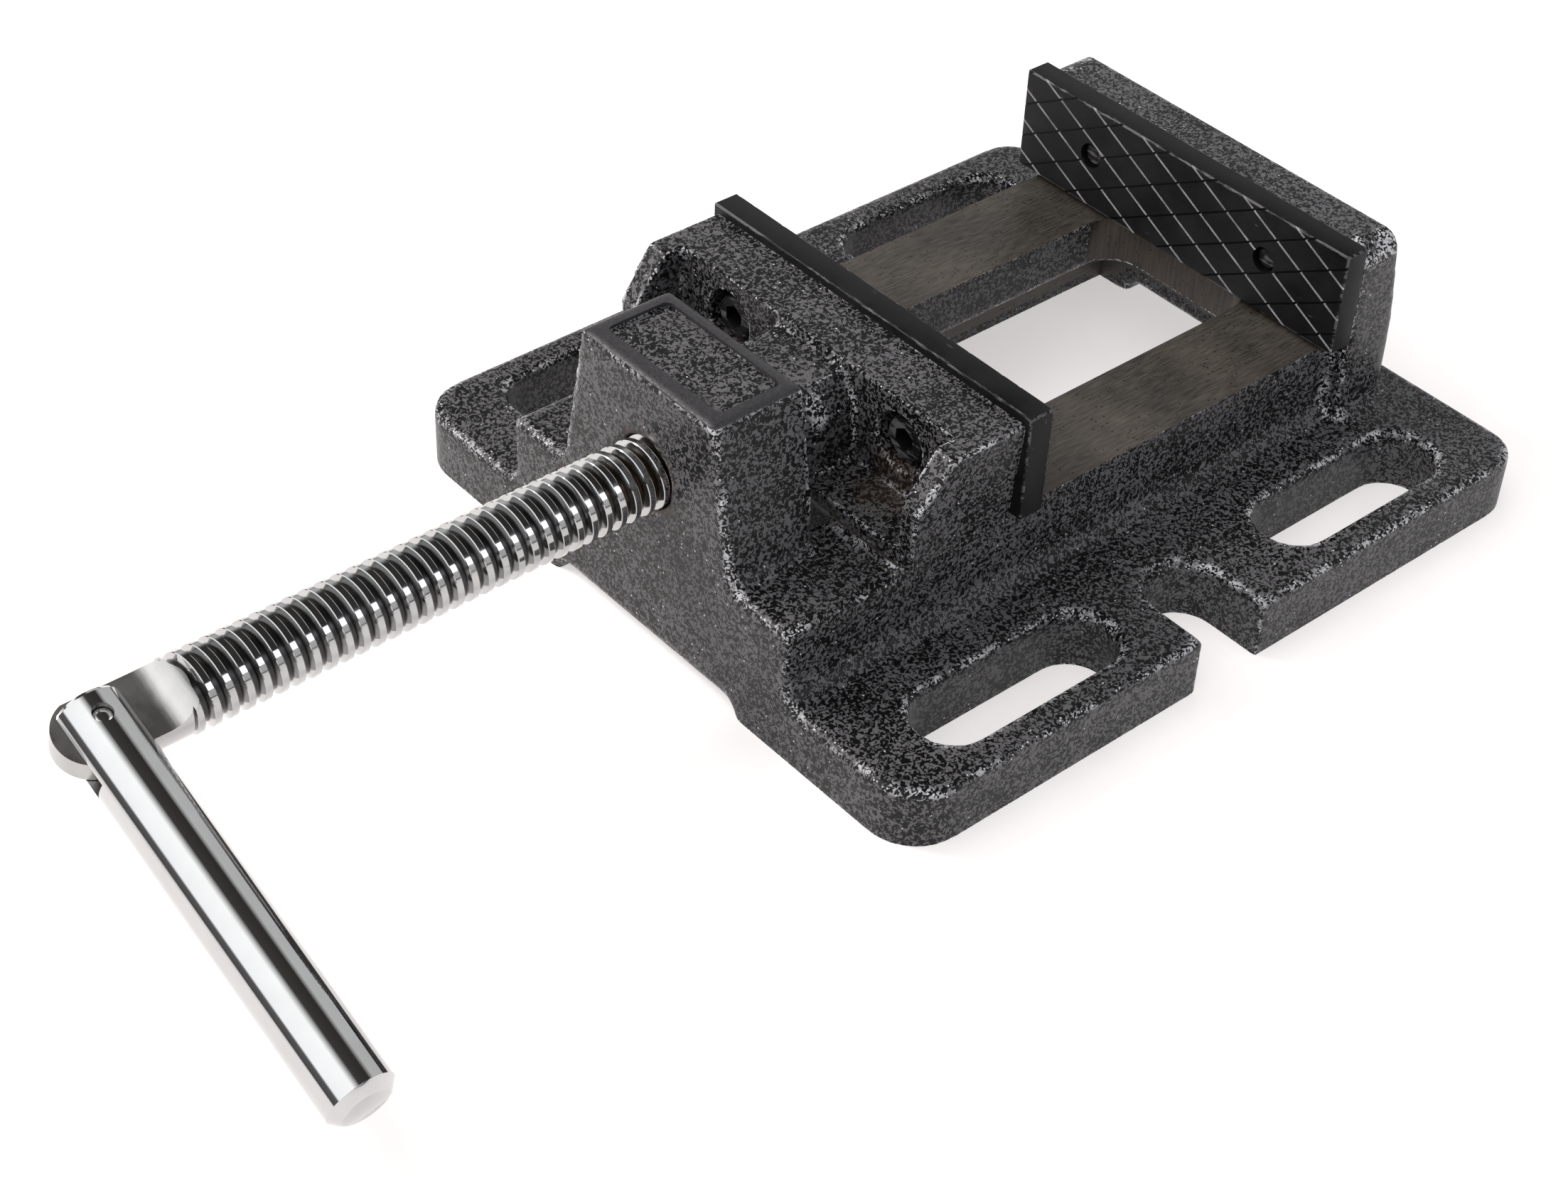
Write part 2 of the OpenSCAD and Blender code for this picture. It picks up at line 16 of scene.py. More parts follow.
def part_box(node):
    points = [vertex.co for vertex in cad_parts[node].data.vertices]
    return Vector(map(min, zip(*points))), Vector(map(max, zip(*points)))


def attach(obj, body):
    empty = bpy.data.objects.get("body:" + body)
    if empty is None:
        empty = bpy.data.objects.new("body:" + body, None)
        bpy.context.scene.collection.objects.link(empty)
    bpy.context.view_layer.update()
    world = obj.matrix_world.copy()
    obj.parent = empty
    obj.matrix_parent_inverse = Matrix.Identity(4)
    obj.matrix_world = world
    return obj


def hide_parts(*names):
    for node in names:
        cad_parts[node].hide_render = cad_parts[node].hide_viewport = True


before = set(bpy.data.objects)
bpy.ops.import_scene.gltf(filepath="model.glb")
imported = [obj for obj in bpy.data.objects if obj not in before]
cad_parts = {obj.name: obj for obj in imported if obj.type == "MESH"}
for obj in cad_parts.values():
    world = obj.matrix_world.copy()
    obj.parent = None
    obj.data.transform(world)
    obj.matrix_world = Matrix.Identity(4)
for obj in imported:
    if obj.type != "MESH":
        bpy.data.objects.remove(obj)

LOG = logging.getLogger("vise")
MM = 0.001
# The attribute that holds how much a skin bends at each corner
EDGE_MARK = "edge_bend"
# Places that several pieces share, in millimetres
SCREW_Z = 45.4
PIN_X = -218.4
WAY_TOP = 34.0
PLATE_SCREW_Y = 27.3
PLATE_SCREW_Z = 49.0
# The handle's turn about the screw, in degrees
HANDLE_TILT = 18.0
# How far a tool reaches past what it cuts, and how near a vertex is to the plane it lies on
PAST = 10.0
NEAR = 0.05
# Three and two numbers
Point = tuple[float, float, float]
Pair = tuple[float, float]
# Settings that many nodes share
SMOOTH = {"interpolation_type": "SMOOTHSTEP"}
COLOURS = {"data_type": "RGBA"}


class Body(Enum):
    """The four bodies that move against each other."""

    BASE = "base"
    SLIDING_JAW = "sliding_jaw"
    SCREW = "screw"
    BAR = "bar"


class Slot(Enum):
    """The record's material slots."""

    PAINT = "hammertone_paint"
    OXIDE = "black_oxide"
    CHROME = "bright_chrome"
    STEEL = "plain_steel"


class Side(Enum):
    """The two sides of the vise, seen from the handle."""

    LEFT = 1
    RIGHT = -1


# ---------------------------------------------------------------- colours and nodes


def linear(code: str) -> tuple[float, float, float, float]:
    """Turns an sRGB hex colour to linear values.

    Args:
        code: Six hex digits after a hash.

    Returns:
        Red, green, blue and an alpha of one.
    """
    parts = [int(code[i : i + 2], 16) / 255 for i in (1, 3, 5)]
    bent = [c / 12.92 if c <= 0.04045 else ((c + 0.055) / 1.055) ** 2.4 for c in parts]
    return (bent[0], bent[1], bent[2], 1.0)


def add(tree: NodeTree, kind: str, inputs: dict[Any, Any] | None = None,
        stops: tuple[tuple[float, str], ...] = (), **settings: Any) -> Node:
    """Adds a node, sets its properties, and fills or links its inputs.

    Args:
        tree: The node tree.
        kind: The node's type name after "ShaderNode".
        inputs: Input name or index to a value, a socket, or a node whose first output feeds it.
        stops: A colour ramp's positions and hex colours, from low to high.
        settings: Properties of the node.

    Returns:
        The new node.
    """
    made = tree.nodes.new("ShaderNode" + kind)
    for name, value in settings.items():
        setattr(made, name, value)
    for key, value in (inputs or {}).items():
        if isinstance(value, (Node, NodeSocket)):
            tree.links.new(value.outputs[0] if isinstance(value, Node) else value, made.inputs[key])
        else:
            made.inputs[key].default_value = value
    points = made.color_ramp.elements if stops else ()
    while len(points) < len(stops):
        points.new(1.0)
    for point, (place, code) in zip(points, stops):
        point.position = place
        point.color = linear(code)
    return made


def per_mm(size: float) -> float:
    """The scale of a pattern whose features are that many millimetres across."""
    return 1.0 / (size * MM)


def blank(name: str) -> tuple[Material, NodeTree, NodeSocket]:
    """Makes an empty material.

    Args:
        name: The material's name.

    Returns:
        The material, its tree and the object coordinates.
    """
    made = bpy.data.materials.new(name)
    made.use_nodes = True
    tree = made.node_tree
    tree.nodes.clear()
    return made, tree, add(tree, "TexCoord").outputs["Object"]


# ---------------------------------------------------------------- finishes


@dataclass(frozen=True)
class Spot:
    """A grease stain or a painted highlight spot: its middle and radius in millimetres, and its
    strength.
    """

    at: Point
    radius: float
    strength: float


@dataclass(frozen=True)
class HammertonePaint:
    """Speckle paint sprayed over rough cast iron: dark ground, pale worm-like islands, flecks."""

    # To the eye: near-black, crowded with grey worm-like drops, with painted white glints on the
    # edges
    name: str = "speckled_hammertone_enamel"
    ground: str = "#080809"
    island: str = "#565557"
    fleck_and_glint: str = "#c9c9cd"
    island_mm: float = 0.85
    fleck_mm: float = 0.5
    drift_mm: float = 14.0
    patch_mm: float = 5.0
    smear_mm: float = 3.0
    grain_mm: float = 0.6
    # The noise values between which an island begins
    shore: Pair = (0.503, 0.527)
    # The luck that a flake needs on a flat, and how much less it needs on an edge, where the extra
    # flakes are a painted glint
    luck: float = 0.996
    edge_luck: float = -0.14
    rim_z: float | None = None
    rim: str = "#373638"
    rim_dark: str = "#2b2a2c"
    stains: tuple[Spot, ...] = ()
    painted_glints: tuple[Spot, ...] = ()
    stain: str = "#3b2a19"

    def make(self) -> Material:
        """Builds the paint, with a wiped rim above rim_z, its grease stains, and its painted
        highlights on edges.

        Returns:
            The material.
        """
        made, tree, place = blank(self.name)
        # Islands: the pale drops that pull together as the paint dries
        islands = add(tree, "TexNoise", {"Vector": place, "Scale": per_mm(self.island_mm),
                                         "Detail": 1.6, "Roughness": 0.45, "Distortion": 1.1})
        drift = add(tree, "TexNoise",
                    {"Vector": place, "Scale": per_mm(self.drift_mm), "Detail": 2.0})
        uneven = add(tree, "MapRange", {0: drift, 1: 0.3, 2: 0.7, 3: -0.025, 4: 0.025}, **SMOOTH)
        spread = add(tree, "Math", {0: islands, 1: uneven}, operation="ADD")
        cover = add(tree, "MapRange", {0: spread, 1: self.shore[0], 2: self.shore[1]}, **SMOOTH)
        # Edges: painted glints, the fleck colour laid as a painted highlight along edges and
        # fillets and at the glint spots
        bend = add(tree, "Attribute", attribute_name=EDGE_MARK).outputs["Fac"]
        edge_glint_mask = add(tree, "MapRange", {0: bend, 1: 0.36, 2: 1.0, 3: 0.0, 4: 0.7}, **SMOOTH)
        for spot in self.painted_glints:
            away = add(tree, "VectorMath", {0: place, 1: Vector(spot.at) * MM},
                       operation="DISTANCE").outputs["Value"]
            near = add(tree, "MapRange", {0: away, 1: 0.4 * spot.radius * MM, 2: spot.radius * MM,
                                          3: spot.strength, 4: 0.0}, **SMOOTH)
            edge_glint_mask = add(tree, "Math", {0: edge_glint_mask, 1: near}, operation="MAXIMUM")
        patches = add(tree, "TexNoise",
                      {"Vector": place, "Scale": per_mm(self.patch_mm), "Detail": 2.0})
        patchy = add(tree, "MapRange", {0: patches, 1: 0.4, 2: 0.62}, **SMOOTH)
        # Painted highlight: where edges bend and at the glint spots the islands turn to the fleck
        # colour
        painted_glint = add(tree, "Math", {0: edge_glint_mask, 1: patchy}, operation="MULTIPLY")
        pale = add(tree, "Mix", {0: painted_glint, 6: linear(self.island), 7: linear(self.fleck_and_glint)},
                   **COLOURS).outputs[2]
        colour = add(tree, "Mix", {0: cover, 6: linear(self.ground), 7: pale}, **COLOURS).outputs[2]
        # Flecks: bright flakes in the paint, denser on edges as a painted glint
        cells = add(tree, "TexVoronoi", {"Vector": place, "Scale": per_mm(self.fleck_mm)})
        chance = add(tree, "SeparateColor", {0: cells.outputs["Color"]})
        needed = add(tree, "Math", {0: edge_glint_mask, 1: self.edge_luck, 2: self.luck},
                     operation="MULTIPLY_ADD")
        lucky = add(tree, "Math", {0: chance, 1: needed}, operation="GREATER_THAN")
        inside = add(tree, "MapRange",
                     {0: cells.outputs["Distance"], 1: 0.28, 2: 0.5, 3: 1.0, 4: 0.0}, **SMOOTH)
        flakes = add(tree, "Math", {0: lucky, 1: inside}, operation="MULTIPLY")
        colour = add(tree, "Mix", {0: flakes, 6: colour, 7: linear(self.fleck_and_glint)},
                     **COLOURS).outputs[2]
        rough = add(tree, "MapRange", {0: cover, 1: 0.0, 2: 1.0, 3: 0.34, 4: 0.46}, **SMOOTH)
        xyz = add(tree, "SeparateXYZ", {0: place})
        if self.rim_z is not None:
            ragged = add(tree, "Math",
                         {0: drift, 1: 0.8 * MM, 2: xyz.outputs[2]}, operation="MULTIPLY_ADD")
            wiped = add(tree, "MapRange", {0: ragged, 1: (self.rim_z - 0.1) * MM,
                                           2: (self.rim_z + 0.3) * MM}, **SMOOTH)
            fine = add(tree, "TexNoise",
                       {"Vector": place, "Scale": per_mm(self.fleck_mm), "Detail": 2.0})
            uneven = add(tree, "MapRange", {0: fine, 1: 0.3, 2: 0.7}, **SMOOTH)
            smooth = add(tree, "Mix", {0: uneven, 6: linear(self.rim), 7: linear(self.rim_dark)},
                         **COLOURS).outputs[2]
            colour = add(tree, "Mix", {0: wiped, 6: colour, 7: smooth}, **COLOURS).outputs[2]
        smear = add(tree, "TexNoise",
                    {"Vector": place, "Scale": per_mm(self.smear_mm), "Detail": 3.0})
        for spot in self.stains:
            away = add(tree, "VectorMath", {0: place, 1: Vector(spot.at) * MM},
                       operation="DISTANCE").outputs["Value"]
            reach = add(tree, "Math", {0: smear, 1: 7 * MM, 2: away}, operation="MULTIPLY_ADD")
            greased = add(tree, "MapRange",
                          {0: reach, 1: (spot.radius + 1.5) * MM, 2: (spot.radius + 5.5) * MM,
                           3: spot.strength, 4: 0.0}, **SMOOTH)
            colour = add(tree, "Mix", {0: greased, 6: colour, 7: linear(self.stain)},
                         **COLOURS).outputs[2]
        grain = add(tree, "TexNoise",
                    {"Vector": place, "Scale": per_mm(self.grain_mm), "Detail": 2.0})
        height = add(tree, "Math", {0: cover, 1: 0.6, 2: grain}, operation="MULTIPLY_ADD")
        bump = add(tree, "Bump", {"Height": height, "Strength": 0.35, "Distance": 0.1 * MM})
        add(tree, "OutputMaterial",
            {"Surface": add(tree, "BsdfPrincipled", {"Base Color": colour, "Roughness": rough,
                                                     "Normal": bump, "Specular IOR Level": 0.22})})
        return made


@dataclass(frozen=True)
class GroundIron:
    """Surface-ground cast iron: dark brown-grey, fine lines along the travel, small pits."""

    # To the eye: a dull brown-grey sheen, streaked along the travel and peppered with dark pits
    name: str = "surface_ground_cast_iron"
    dark: str = "#24211e"
    pale: str = "#5a544d"
    # Real grinding lines are about 0.1 mm apart, too fine to show, so they are drawn coarser
    line_mm: float = 0.5
    patch_mm: float = 22.0
    pit_mm: float = 1.2
    pit: str = "#141211"
    along: Point = (0.1, 1.0, 1.0)
    metallic: float = 0.3
    roughness: Pair = (0.42, 0.58)

    def make(self) -> Material:
        """Builds the ground face with its grinding lines, pits and oily patches.

        Returns:
            The material.
        """
        made, tree, place = blank(self.name)
        turned = add(tree, "Mapping", {"Vector": place, "Scale": self.along})
        lines = add(tree, "TexNoise", {"Vector": turned, "Scale": per_mm(self.line_mm),
                                       "Detail": 3.0, "Roughness": 0.6})
        patches = add(tree, "TexNoise",
                      {"Vector": place, "Scale": per_mm(self.patch_mm), "Detail": 4.0})
        cloudy = add(tree, "MapRange", {0: patches, 1: 0.3, 2: 0.7, 3: -0.24, 4: -0.02}, **SMOOTH)
        tone = add(tree, "Math", {0: lines, 1: 1.1, 2: cloudy},
                   operation="MULTIPLY_ADD")
        colour = add(tree, "ValToRGB", {0: tone}, stops=((0.15, self.dark), (0.75, self.pale)))
        pits = add(tree, "TexVoronoi",
                   {"Vector": place, "Scale": per_mm(self.pit_mm), "Randomness": 1.0})
        rare = add(tree, "SeparateColor", {0: pits.outputs["Color"]})
        chosen = add(tree, "Math", {0: rare, 1: 0.55}, operation="GREATER_THAN")
        hollow = add(tree, "MapRange",
                     {0: pits.outputs["Distance"], 1: 0.14, 2: 0.28, 3: 1.0, 4: 0.0}, **SMOOTH)
        pit = add(tree, "Math", {0: chosen, 1: hollow}, operation="MULTIPLY")
        colour = add(tree, "Mix", {0: pit, 6: colour, 7: linear(self.pit)}, **COLOURS).outputs[2]
        rough = add(tree, "MapRange", {0: patches, 1: 0.3, 2: 0.7, 3: self.roughness[0],
                                       4: self.roughness[1]}, **SMOOTH)
        bump = add(tree, "Bump", {"Height": lines, "Strength": 0.2, "Distance": 0.05 * MM})
        add(tree, "OutputMaterial",
            {"Surface": add(tree, "BsdfPrincipled", {"Base Color": colour, "Roughness": rough,
                                                     "Normal": bump, "Metallic": self.metallic})})
        return made


@dataclass(frozen=True)
class BlackOxide:
    """Chemically blacked ground steel: near-black satin with cloudy patches and faint lines."""

    # To the eye: a near-black satin whose shape shows only at its worn, greyer edges
    name: str = "black_oxide_steel"
    dark: str = "#070708"
    pale: str = "#161517"
    rubbed: str = "#6d6c6e"
    roughness: Pair = (0.42, 0.55)
    cloud_mm: float = 9.0
    line_mm: float = 0.4
    scuff_mm: float = 1.1

    def make(self) -> Material:
        """Builds the blacked finish with worn, paler edges.

        Returns:
            The material.
        """
        made, tree, place = blank(self.name)
        clouds = add(tree, "TexNoise", {"Vector": place, "Scale": per_mm(self.cloud_mm),
                                        "Detail": 4.0, "Roughness": 0.6})
        drawn = add(tree, "Mapping", {"Vector": place, "Scale": (1.0, 0.04, 1.0)})
        lines = add(tree, "TexNoise",
                    {"Vector": drawn, "Scale": per_mm(self.line_mm), "Detail": 2.0})
        cloudy = add(tree, "MapRange", {0: clouds, 1: 0.3, 2: 0.7, 3: 0.0, 4: 0.5}, **SMOOTH)
        tone = add(tree, "Math", {0: lines, 1: 0.5, 2: cloudy},
                   operation="MULTIPLY_ADD")
        colour = add(tree, "ValToRGB", {0: tone}, stops=((0.2, self.dark), (0.8, self.pale)))
        # Scuffs and rubbed edges show the steel under the black
        long_way = add(tree, "Mapping", {"Vector": place, "Scale": (1.0, 0.12, 0.6)})
        scuffs = add(tree, "TexNoise", {"Vector": long_way, "Scale": per_mm(self.scuff_mm),
                                        "Detail": 3.0, "Roughness": 0.7})
        bend = add(tree, "Attribute", attribute_name=EDGE_MARK).outputs["Fac"]
        easily = add(tree, "Math", {0: bend, 1: 0.2, 2: scuffs}, operation="MULTIPLY_ADD")
        rubbed = add(tree, "MapRange", {0: easily, 1: 0.67, 2: 0.76, 3: 0.0, 4: 0.5}, **SMOOTH)
        colour = add(tree, "Mix", {0: rubbed, 6: colour, 7: linear(self.rubbed)},
                     **COLOURS).outputs[2]
        rough = add(tree, "MapRange", {0: clouds, 1: 0.3, 2: 0.7, 3: self.roughness[0],
                                       4: self.roughness[1]}, **SMOOTH)
        bump = add(tree, "Bump", {"Height": lines, "Strength": 0.12, "Distance": 0.03 * MM})
        add(tree, "OutputMaterial",
            {"Surface": add(tree, "BsdfPrincipled",
                            {"Base Color": colour, "Roughness": rough, "Normal": bump,
                             "Metallic": 0.1, "Specular IOR Level": 0.2})})
        return made


@dataclass(frozen=True)
class BrightChrome:
    """Bright chrome plate over turned steel: mirror-like, with faint turning marks."""

    # To the eye: hard light and dark bands along the bar, and thread roots darkened by oil and
    # painted shade
    name: str = "bright_chrome_plate"
    colour: str = "#c8c9ca"
    roughness: Pair = (0.05, 0.1)
    mark_mm: float = 0.5
    marks: Point = (1.0, 0.02, 0.02)
    depth: float = 0.05
    haze: str = "#bcbcbb"
    haze_mm: float = 6.0
    # Below this radius the thread's roots are darkened with oil and painted shade, in this colour
    oil_and_shade_below: float | None = None
    root_oil_and_shade: str = "#403f3f"
    grease: str = "#3f301d"
    grease_x: Pair = (-116.0, -96.0)

    def make(self) -> Material:
        """Builds the plate, with marks that run round the bar or along a milled flat.

        Returns:
            The material.
        """
        made, tree, place = blank(self.name)
        drawn = add(tree, "Mapping", {"Vector": place, "Scale": self.marks})
        lines = add(tree, "TexNoise",
                    {"Vector": drawn, "Scale": per_mm(self.mark_mm), "Detail": 2.0})
        haze = add(tree, "TexNoise",
                   {"Vector": place, "Scale": per_mm(self.haze_mm), "Detail": 4.0})
        rough = add(tree, "MapRange", {0: haze, 1: 0.35, 2: 0.7, 3: self.roughness[0],
                                       4: self.roughness[1]}, **SMOOTH)
        colour = add(tree, "Mix", {0: haze, 6: linear(self.colour), 7: linear(self.haze)},
                     **COLOURS).outputs[2]
        if self.oil_and_shade_below is not None:
            # The thread's roots are darkened, partly by oil and swarf and partly as painted shade,
            # browner where the nut wipes them up
            xyz = add(tree, "SeparateXYZ", {0: place})
            out = add(tree, "CombineXYZ", {1: xyz.outputs[1], 2: xyz.outputs[2]})
            radius = add(tree, "VectorMath", {0: out, 1: (0.0, 0.0, SCREW_Z * MM)},
                         operation="DISTANCE").outputs["Value"]
            ragged = add(tree, "Math", {0: haze, 1: 0.6 * MM, 2: radius},
                         operation="MULTIPLY_ADD")
            low = (self.oil_and_shade_below + 0.1) * MM
            oil_and_shade = add(tree, "MapRange", {0: ragged, 1: low, 2: low + 0.5 * MM, 3: 1.0, 4: 0.0},
                       **SMOOTH)
            worn = add(tree, "MapRange", {0: xyz.outputs[0], 1: self.grease_x[0] * MM,
                                          2: self.grease_x[1] * MM}, **SMOOTH)
            root_oil_and_shade = add(tree, "Mix", {0: worn, 6: linear(self.root_oil_and_shade), 7: linear(self.grease)},
                       **COLOURS).outputs[2]
            colour = add(tree, "Mix", {0: oil_and_shade, 6: colour, 7: root_oil_and_shade}, **COLOURS).outputs[2]
            rough = add(tree, "Math", {0: oil_and_shade, 1: 0.22, 2: rough}, operation="MULTIPLY_ADD")
        bump = add(tree, "Bump", {"Height": lines, "Strength": self.depth, "Distance": 0.02 * MM})
        add(tree, "OutputMaterial",
            {"Surface": add(tree, "BsdfPrincipled", {"Base Color": colour, "Roughness": rough,
                                                     "Normal": bump, "Metallic": 1.0})})
        return made


@dataclass(frozen=True)
class OiledSteel:
    """Plain rolled steel left oily: mid grey, satin, mottled."""

    # To the eye: soft grey highlights broken up by a darker mottle
    name: str = "oiled_plain_steel"
    dark: str = "#4c4a47"
    pale: str = "#7b7873"
    mottle_mm: float = 4.0
    metallic: float = 0.85

    def make(self) -> Material:
        """Builds the mottled steel.

        Returns:
            The material.
        """
        made, tree, place = blank(self.name)
        mottle = add(tree, "TexNoise", {"Vector": place, "Scale": per_mm(self.mottle_mm),
                                        "Detail": 5.0, "Roughness": 0.65})
        colour = add(tree, "ValToRGB", {0: mottle}, stops=((0.3, self.dark), (0.7, self.pale)))
        rough = add(tree, "MapRange", {0: mottle, 1: 0.3, 2: 0.7, 3: 0.45, 4: 0.28}, **SMOOTH)
        bump = add(tree, "Bump", {"Height": mottle, "Strength": 0.15, "Distance": 0.04 * MM})
        add(tree, "OutputMaterial",
            {"Surface": add(tree, "BsdfPrincipled", {"Base Color": colour, "Roughness": rough,
                                                     "Normal": bump, "Metallic": self.metallic})})
        return made


@dataclass(frozen=True)
class PaleFloor:
    """A matt, off-white paper sweep, lit a little from behind so that it holds no hard shadow."""

    # To the eye: an even, warm off-white with only a soft shadow under the vise
    name: str = "matt_paper_sweep"
    dark: str = "#c6c3c2"
    pale: str = "#c9c7c6"
    fibre_mm: float = 25.0
    glow: float = 0.9

    def make(self) -> Material:
        """Builds the paper.

        Returns:
            The material.
        """
        made, tree, place = blank(self.name)
        fibre = add(tree, "TexNoise",
                    {"Vector": place, "Scale": per_mm(self.fibre_mm), "Detail": 2.0})
        colour = add(tree, "ValToRGB", {0: fibre}, stops=((0.3, self.dark), (0.7, self.pale)))
        add(tree, "OutputMaterial",
            {"Surface": add(tree, "BsdfPrincipled",
                            {"Base Color": colour, "Emission Color": colour,
                             "Emission Strength": self.glow, "Roughness": 0.9})})
        return made


# ---------------------------------------------------------------- mesh work


def new_box(low: Iterable[float], high: Iterable[float]) -> BMesh:
    """Makes a box between two corners.

    Args:
        low: The lowest corner in millimetres.
        high: The highest corner in millimetres.

    Returns:
        A new bmesh.
    """
    a, b = Vector(low) * MM, Vector(high) * MM
    bm = bmesh.new()
    bmesh.ops.create_cube(bm, size=1.0,
                          matrix=Matrix.Translation((a + b) / 2) @ Matrix.Diagonal((*(b - a), 1.0)))
    return bm


def put_bar(bm: BMesh, start: Iterable[float], end: Iterable[float], radius: float,
            segments: int = 96) -> None:
    """Adds a round bar.

    Args:
        bm: The bmesh to add to.
        start: The middle of one end in millimetres.
        end: The middle of the other end in millimetres.
        radius: The radius in millimetres.
        segments: The number of sides.
    """
    a, b = Vector(start) * MM, Vector(end) * MM
    way = b - a
    turn = way.to_track_quat("Z", "Y").to_matrix().to_4x4()
    bmesh.ops.create_cone(bm, cap_ends=True, cap_tris=False, segments=segments, radius1=radius * MM,
                          radius2=radius * MM, depth=way.length,
                          matrix=Matrix.Translation((a + b) / 2) @ turn)


def new_bar(start: Iterable[float], end: Iterable[float], radius: float,
            segments: int = 96) -> BMesh:
    """Makes a bmesh that holds one round bar, as put_bar adds it.

    Args:
        start: The middle of one end in millimetres.
        end: The middle of the other end in millimetres.
        radius: The radius in millimetres.
        segments: The number of sides.

    Returns:
        A new bmesh.
    """
    bm = bmesh.new()
    put_bar(bm, start, end, radius, segments)
    return bm


def put_turned(bm: BMesh, profile: list[Pair], steps: int = 128) -> None:
    """Spins a closed-ended profile about the X axis.

    Args:
        bm: The bmesh to add to.
        profile: Points as (x, radius) in millimetres.
        steps: The number of facets round the axis.
    """
    verts = [bm.verts.new((x * MM, 0.0, r * MM)) for x, r in profile]
    edges = [bm.edges.new(pair) for pair in zip(verts, verts[1:])]
    bmesh.ops.spin(bm, geom=verts + edges, cent=(0, 0, 0), axis=(1, 0, 0), angle=math.tau,
                   steps=steps, use_merge=True, use_duplicate=False)
    bmesh.ops.remove_doubles(bm, verts=bm.verts, dist=1e-7)
    bmesh.ops.recalc_face_normals(bm, faces=bm.faces)


def round_edges(bm: BMesh, width: float, segments: int = 3, above: float = 30.0) -> None:
    """Bevels every sharp edge.

    Args:
        bm: The bmesh.
        width: The bevel in millimetres.
        segments: The facets across it.
        above: The angle in degrees that counts as sharp.
    """
    sharp = [e for e in bm.edges if e.is_manifold and e.calc_face_angle(0.0) > math.radians(above)]
    bmesh.ops.bevel(bm, geom=sharp, offset=width * MM, segments=segments, profile=0.5,
                    affect="EDGES", material=-1, clamp_overlap=True)


def make_piece(name: str, bm: BMesh, *materials: Material) -> Object:
    """Turns a bmesh into an object at the origin.

    Args:
        name: The object's name.
        bm: The bmesh, which is freed.
        materials: The material slots in order.

    Returns:
        The object, linked to the scene.
    """
    mesh = bpy.data.meshes.new(name)
    bm.to_mesh(mesh)
    bm.free()
    for material in materials:
        mesh.materials.append(material)
    piece = bpy.data.objects.new(name, mesh)
    bpy.context.scene.collection.objects.link(piece)
    return piece


def settle(piece: Object) -> None:
    """Applies a piece's modifiers to its mesh.

    Args:
        piece: The piece.
    """
    graph = bpy.context.evaluated_depsgraph_get()
    solid = piece.evaluated_get(graph)
    mesh = bpy.data.meshes.new_from_object(solid, preserve_all_data_layers=True, depsgraph=graph)
    old = piece.data
    piece.modifiers.clear()
    piece.data = mesh
    bpy.data.meshes.remove(old)
    mesh.name = piece.name


def carve(piece: Object, tool: BMesh, material: Material,
          operation: str = "DIFFERENCE", solver: str = "MANIFOLD") -> None:
    """Cuts a piece with a tool whose finish the cut faces take.

    Args:
        piece: The piece to cut.
        tool: The tool's bmesh, which is freed.
        material: The finish of the cut faces.
        operation: The boolean operation.
        solver: The boolean solver.
    """
    cutter = make_piece("cutter", tool, material)
    made = piece.modifiers.new("cut", "BOOLEAN")
    made.object = cutter
    made.operation = operation
    made.solver = solver
    made.material_mode = "TRANSFER"
    settle(piece)
    mesh = cutter.data
    bpy.data.objects.remove(cutter)
    bpy.data.meshes.remove(mesh)


def block_less_bar(low: Iterable[float], high: Iterable[float], start: Iterable[float],
                   end: Iterable[float], radius: float) -> BMesh:
    """Makes a box with a round bar taken out of it, which rounds what it cuts.

    Args:
        low: The box's lowest corner in millimetres.
        high: The box's highest corner in millimetres.
        start: The middle of the bar's one end in millimetres.
        end: The middle of the bar's other end in millimetres.
        radius: The bar's radius in millimetres.

    Returns:
        A new bmesh.
    """
    unseen = bpy.data.materials[0]
    block = make_piece("block", new_box(low, high), unseen)
    carve(block, new_bar(start, end, radius, segments=128), unseen)
    out = bmesh.new()
    out.from_mesh(block.data)
    bpy.data.objects.remove(block)
    return out


def round_posts(bm: BMesh, radius: float, segments: int, beyond: float = -math.inf) -> None:
    """Rounds a box's upright edges.

    Args:
        bm: The box.
        radius: The radius in millimetres.
        segments: The number of facets.
        beyond: The X in millimetres past which an edge has to stand.
    """
    posts = [e for e in bm.edges
             if abs(e.verts[0].co.z - e.verts[1].co.z) > 3 * MM and e.verts[0].co.x > beyond * MM]
    bmesh.ops.bevel(bm, geom=posts, offset=radius * MM, segments=segments, profile=0.5,
                    affect="EDGES", material=-1)


def raise_up(bm: BMesh, along: float = 0.0) -> None:
    """Turns what stands level at the origin to the handle's angle, and lifts it to the screw.

    Args:
        bm: The bmesh.
        along: How far it moves along X, in millimetres.
    """
    turn = Matrix.Rotation(math.radians(HANDLE_TILT), 3, "X")
    bmesh.ops.rotate(bm, verts=bm.verts, cent=(0, 0, 0), matrix=turn)
    bmesh.ops.translate(bm, verts=bm.verts, vec=(along * MM, 0, SCREW_Z * MM))


def raise_piece(piece: Object, along: float = 0.0) -> None:
    """Raises a finished piece's mesh as raise_up does.

    Args:
        piece: The piece.
        along: How far it moves along X, in millimetres.
    """
    bm = bmesh.new()
    bm.from_mesh(piece.data)
    raise_up(bm, along)
    bm.to_mesh(piece.data)
    bm.free()


